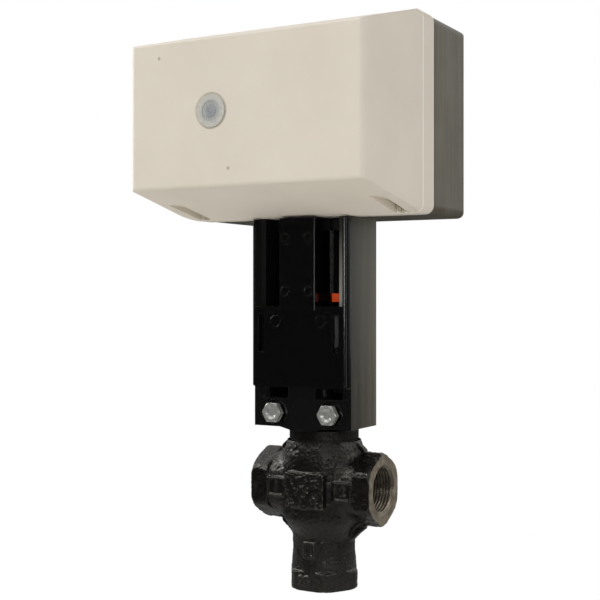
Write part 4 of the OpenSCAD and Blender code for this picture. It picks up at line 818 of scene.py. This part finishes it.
def islands(faces):
    """The faces in groups that hang together."""
    seen = set()
    for start in faces:
        if start in seen:
            continue
        island = []
        stack = [start]
        seen.add(start)
        while stack:
            f = stack.pop()
            island.append(f)
            for g in (g for e in f.edges for g in e.link_faces):
                if g not in seen:
                    seen.add(g)
                    stack.append(g)
        yield island


def cavity(bm):
    """Adds the passages and chamber inside the CAD solid, as they are, without its outer skin."""
    skin_reach = 21
    source = cad_mesh("valve_body")
    bmesh.ops.remove_doubles(source, verts=source.verts, dist=1e-3)
    bmesh.ops.delete(source, geom=[f for f in source.faces if on_ports_or_top(f)], context="FACES")
    outer = []
    for island in islands(source.faces):
        if max(abs(v.co.y) for f in island for v in f.verts) >= skin_reach:
            outer.extend(island)
    bmesh.ops.delete(source, geom=outer, context="FACES")
    for f in source.faces:
        f.material_index = CAST
        f.smooth = False
    mesh = bpy.data.meshes.new("cavity")
    source.to_mesh(mesh)
    source.free()
    bm.from_mesh(mesh)
    bpy.data.meshes.remove(mesh)


def valve_body():
    """The rough casting with its machined ports, around the CAD's passages."""
    bm = casting()
    for port, kind in zip(port_frames(), (LOWER_FACE, SIDE_FACE, SIDE_FACE)):
        threaded_bore(bm, port, flat_face(bm, port, kind))
    cavity(bm)
    lower = machined("machined_lower", (0, 0, 0), (1, 1, 0))
    side = machined("machined_side_right", (0, 0, PORT_AXIS_Z), (0, 1, 1))
    thread = metal("machined_thread", (0.2, 0.17, 0.13), (0.4, 0.35, 0.28), 0.3, metallic=0.9)
    take_over("valve_body_casting", bm, "valve_body", "cast_iron_black", lower, side, thread)


def clamp_jaw():
    """The CAD's jaw with a crowned rear edge that closes the slit under the yoke's rear wall."""
    bm = cad_mesh("clamp_jaw")
    top = max(v.co.z for v in bm.verts)
    for v in bm.verts:
        if v.co.z > top - 0.01 and v.co.y > JAW_CROWN_Y and math.hypot(v.co.x, v.co.y) < JAW_CROWN_R:
            v.co.z += JAW_CROWN
    take_over("clamp_jaw_casting", bm, "clamp_jaw", "jaw_cast")


valve_body()
clamp_jaw()


# Stage, light and camera
def floor():
    """A pale floor that the camera sees white, and that glossy paint mirrors dark away from the part."""
    bm = bmesh.new()
    bmesh.ops.create_grid(bm, x_segments=1, y_segments=1, size=3)
    n = Nodes("floor_white")
    n.finish(n.mix(n.noise(400, 2, 0.5), (0.88, 0.87, 0.84), (0.9, 0.89, 0.86)), Roughness=0.9)
    mirrored = n.add("ShaderNodeEmission")
    seen = n.add("ShaderNodeEmission")
    n.link(n.span(n.distance((0, 0, 0), (1, 1, 0)), 70, 230, 0.36, 0.015), mirrored.inputs["Strength"])
    rays = n.add("ShaderNodeLightPath").outputs
    surface = n.either(rays["Is Glossy Ray"], n.shader.outputs[0], mirrored.outputs[0])
    surface = n.either(rays["Is Camera Ray"], surface, seen.outputs[0])
    n.link(surface, n.tree.nodes["Material Output"].inputs["Surface"])
    obj = new_object("floor", bm, n.material)
    obj.location = (0, 0, -0.0006)


def studio():
    """The world: even light, a mirror image that is bright behind and above, and white to the camera."""
    world = bpy.data.worlds.new("studio")
    bpy.context.scene.world = world
    world.use_nodes = True
    w = Tree(world.node_tree)
    w.tree.nodes.clear()
    rays = w.add("ShaderNodeLightPath").outputs
    toward = w.add("ShaderNodeSeparateXYZ")
    w.link(w.add("ShaderNodeTexCoord").outputs["Generated"], toward.inputs[0])
    behind = w.span(toward.outputs["Y"], -0.2, 0.9, 0.02, 0.5)
    above = w.span(toward.outputs["Z"], 0.15, 0.85, 0.0, 0.6)
    light, mirrored, seen = [w.add("ShaderNodeBackground") for _ in range(3)]
    for shade, strength in ((light, 0.6), (mirrored, 0.0), (seen, 1.0)):
        shade.inputs["Color"].default_value = (1, 1, 1, 1)
        shade.inputs["Strength"].default_value = strength
    w.link(w.math("ADD", behind, above), mirrored.inputs["Strength"])
    surface = w.either(rays["Is Glossy Ray"], light.outputs[0], mirrored.outputs[0])
    surface = w.either(rays["Is Camera Ray"], surface, seen.outputs[0])
    w.link(surface, w.add("ShaderNodeOutputWorld").inputs["Surface"])


def area_light(name, at, aim, size, power):
    """A rectangular light; places and sizes in metres, power in watts."""
    data = bpy.data.lights.new(name, "AREA")
    data.shape = "RECTANGLE"
    data.size, data.size_y = size
    data.energy = power
    obj = bpy.data.objects.new(name, data)
    bpy.context.scene.collection.objects.link(obj)
    obj.location = at
    obj.rotation_euler = (Vector(aim) - Vector(at)).to_track_quat("-Z", "Y").to_euler()


def place_camera():
    """The photograph's place, angle and crop."""
    data = bpy.data.cameras.new("camera")
    data.lens = 70.07
    data.sensor_width = 36
    data.shift_x = 0.0023
    data.shift_y = -0.0056
    camera = bpy.data.objects.new("camera", data)
    bpy.context.scene.collection.objects.link(camera)
    camera.location = (0.3916, -0.7289, 0.2038)
    camera.rotation_euler = (math.radians(90), 0, math.radians(29.5))
    bpy.context.scene.camera = camera


floor()
studio()
area_light("key", (-0.55, -0.75, 1.5), (0, 0, 0.2), (0.6, 0.6), 9.3)
area_light("front", (0.45, -0.8, 0.24), (0, 0, 0.18), (0.12, 0.12), 0.6)
area_light("left", (-1.15, -0.1, 0.7), (0, 0, 0.1), (0.5, 0.6), 6)
area_light("edge", (0.95, -0.52, 0.25), (0, 0, 0.15), (0.06, 0.6), 0.5)
area_light("side", (1.3, 0.35, 0.8), (0, 0, 0.2), (0.5, 0.9), 2.0)
place_camera()
bpy.context.scene.view_settings.view_transform = "Standard"

bpy.context.view_layer.update()
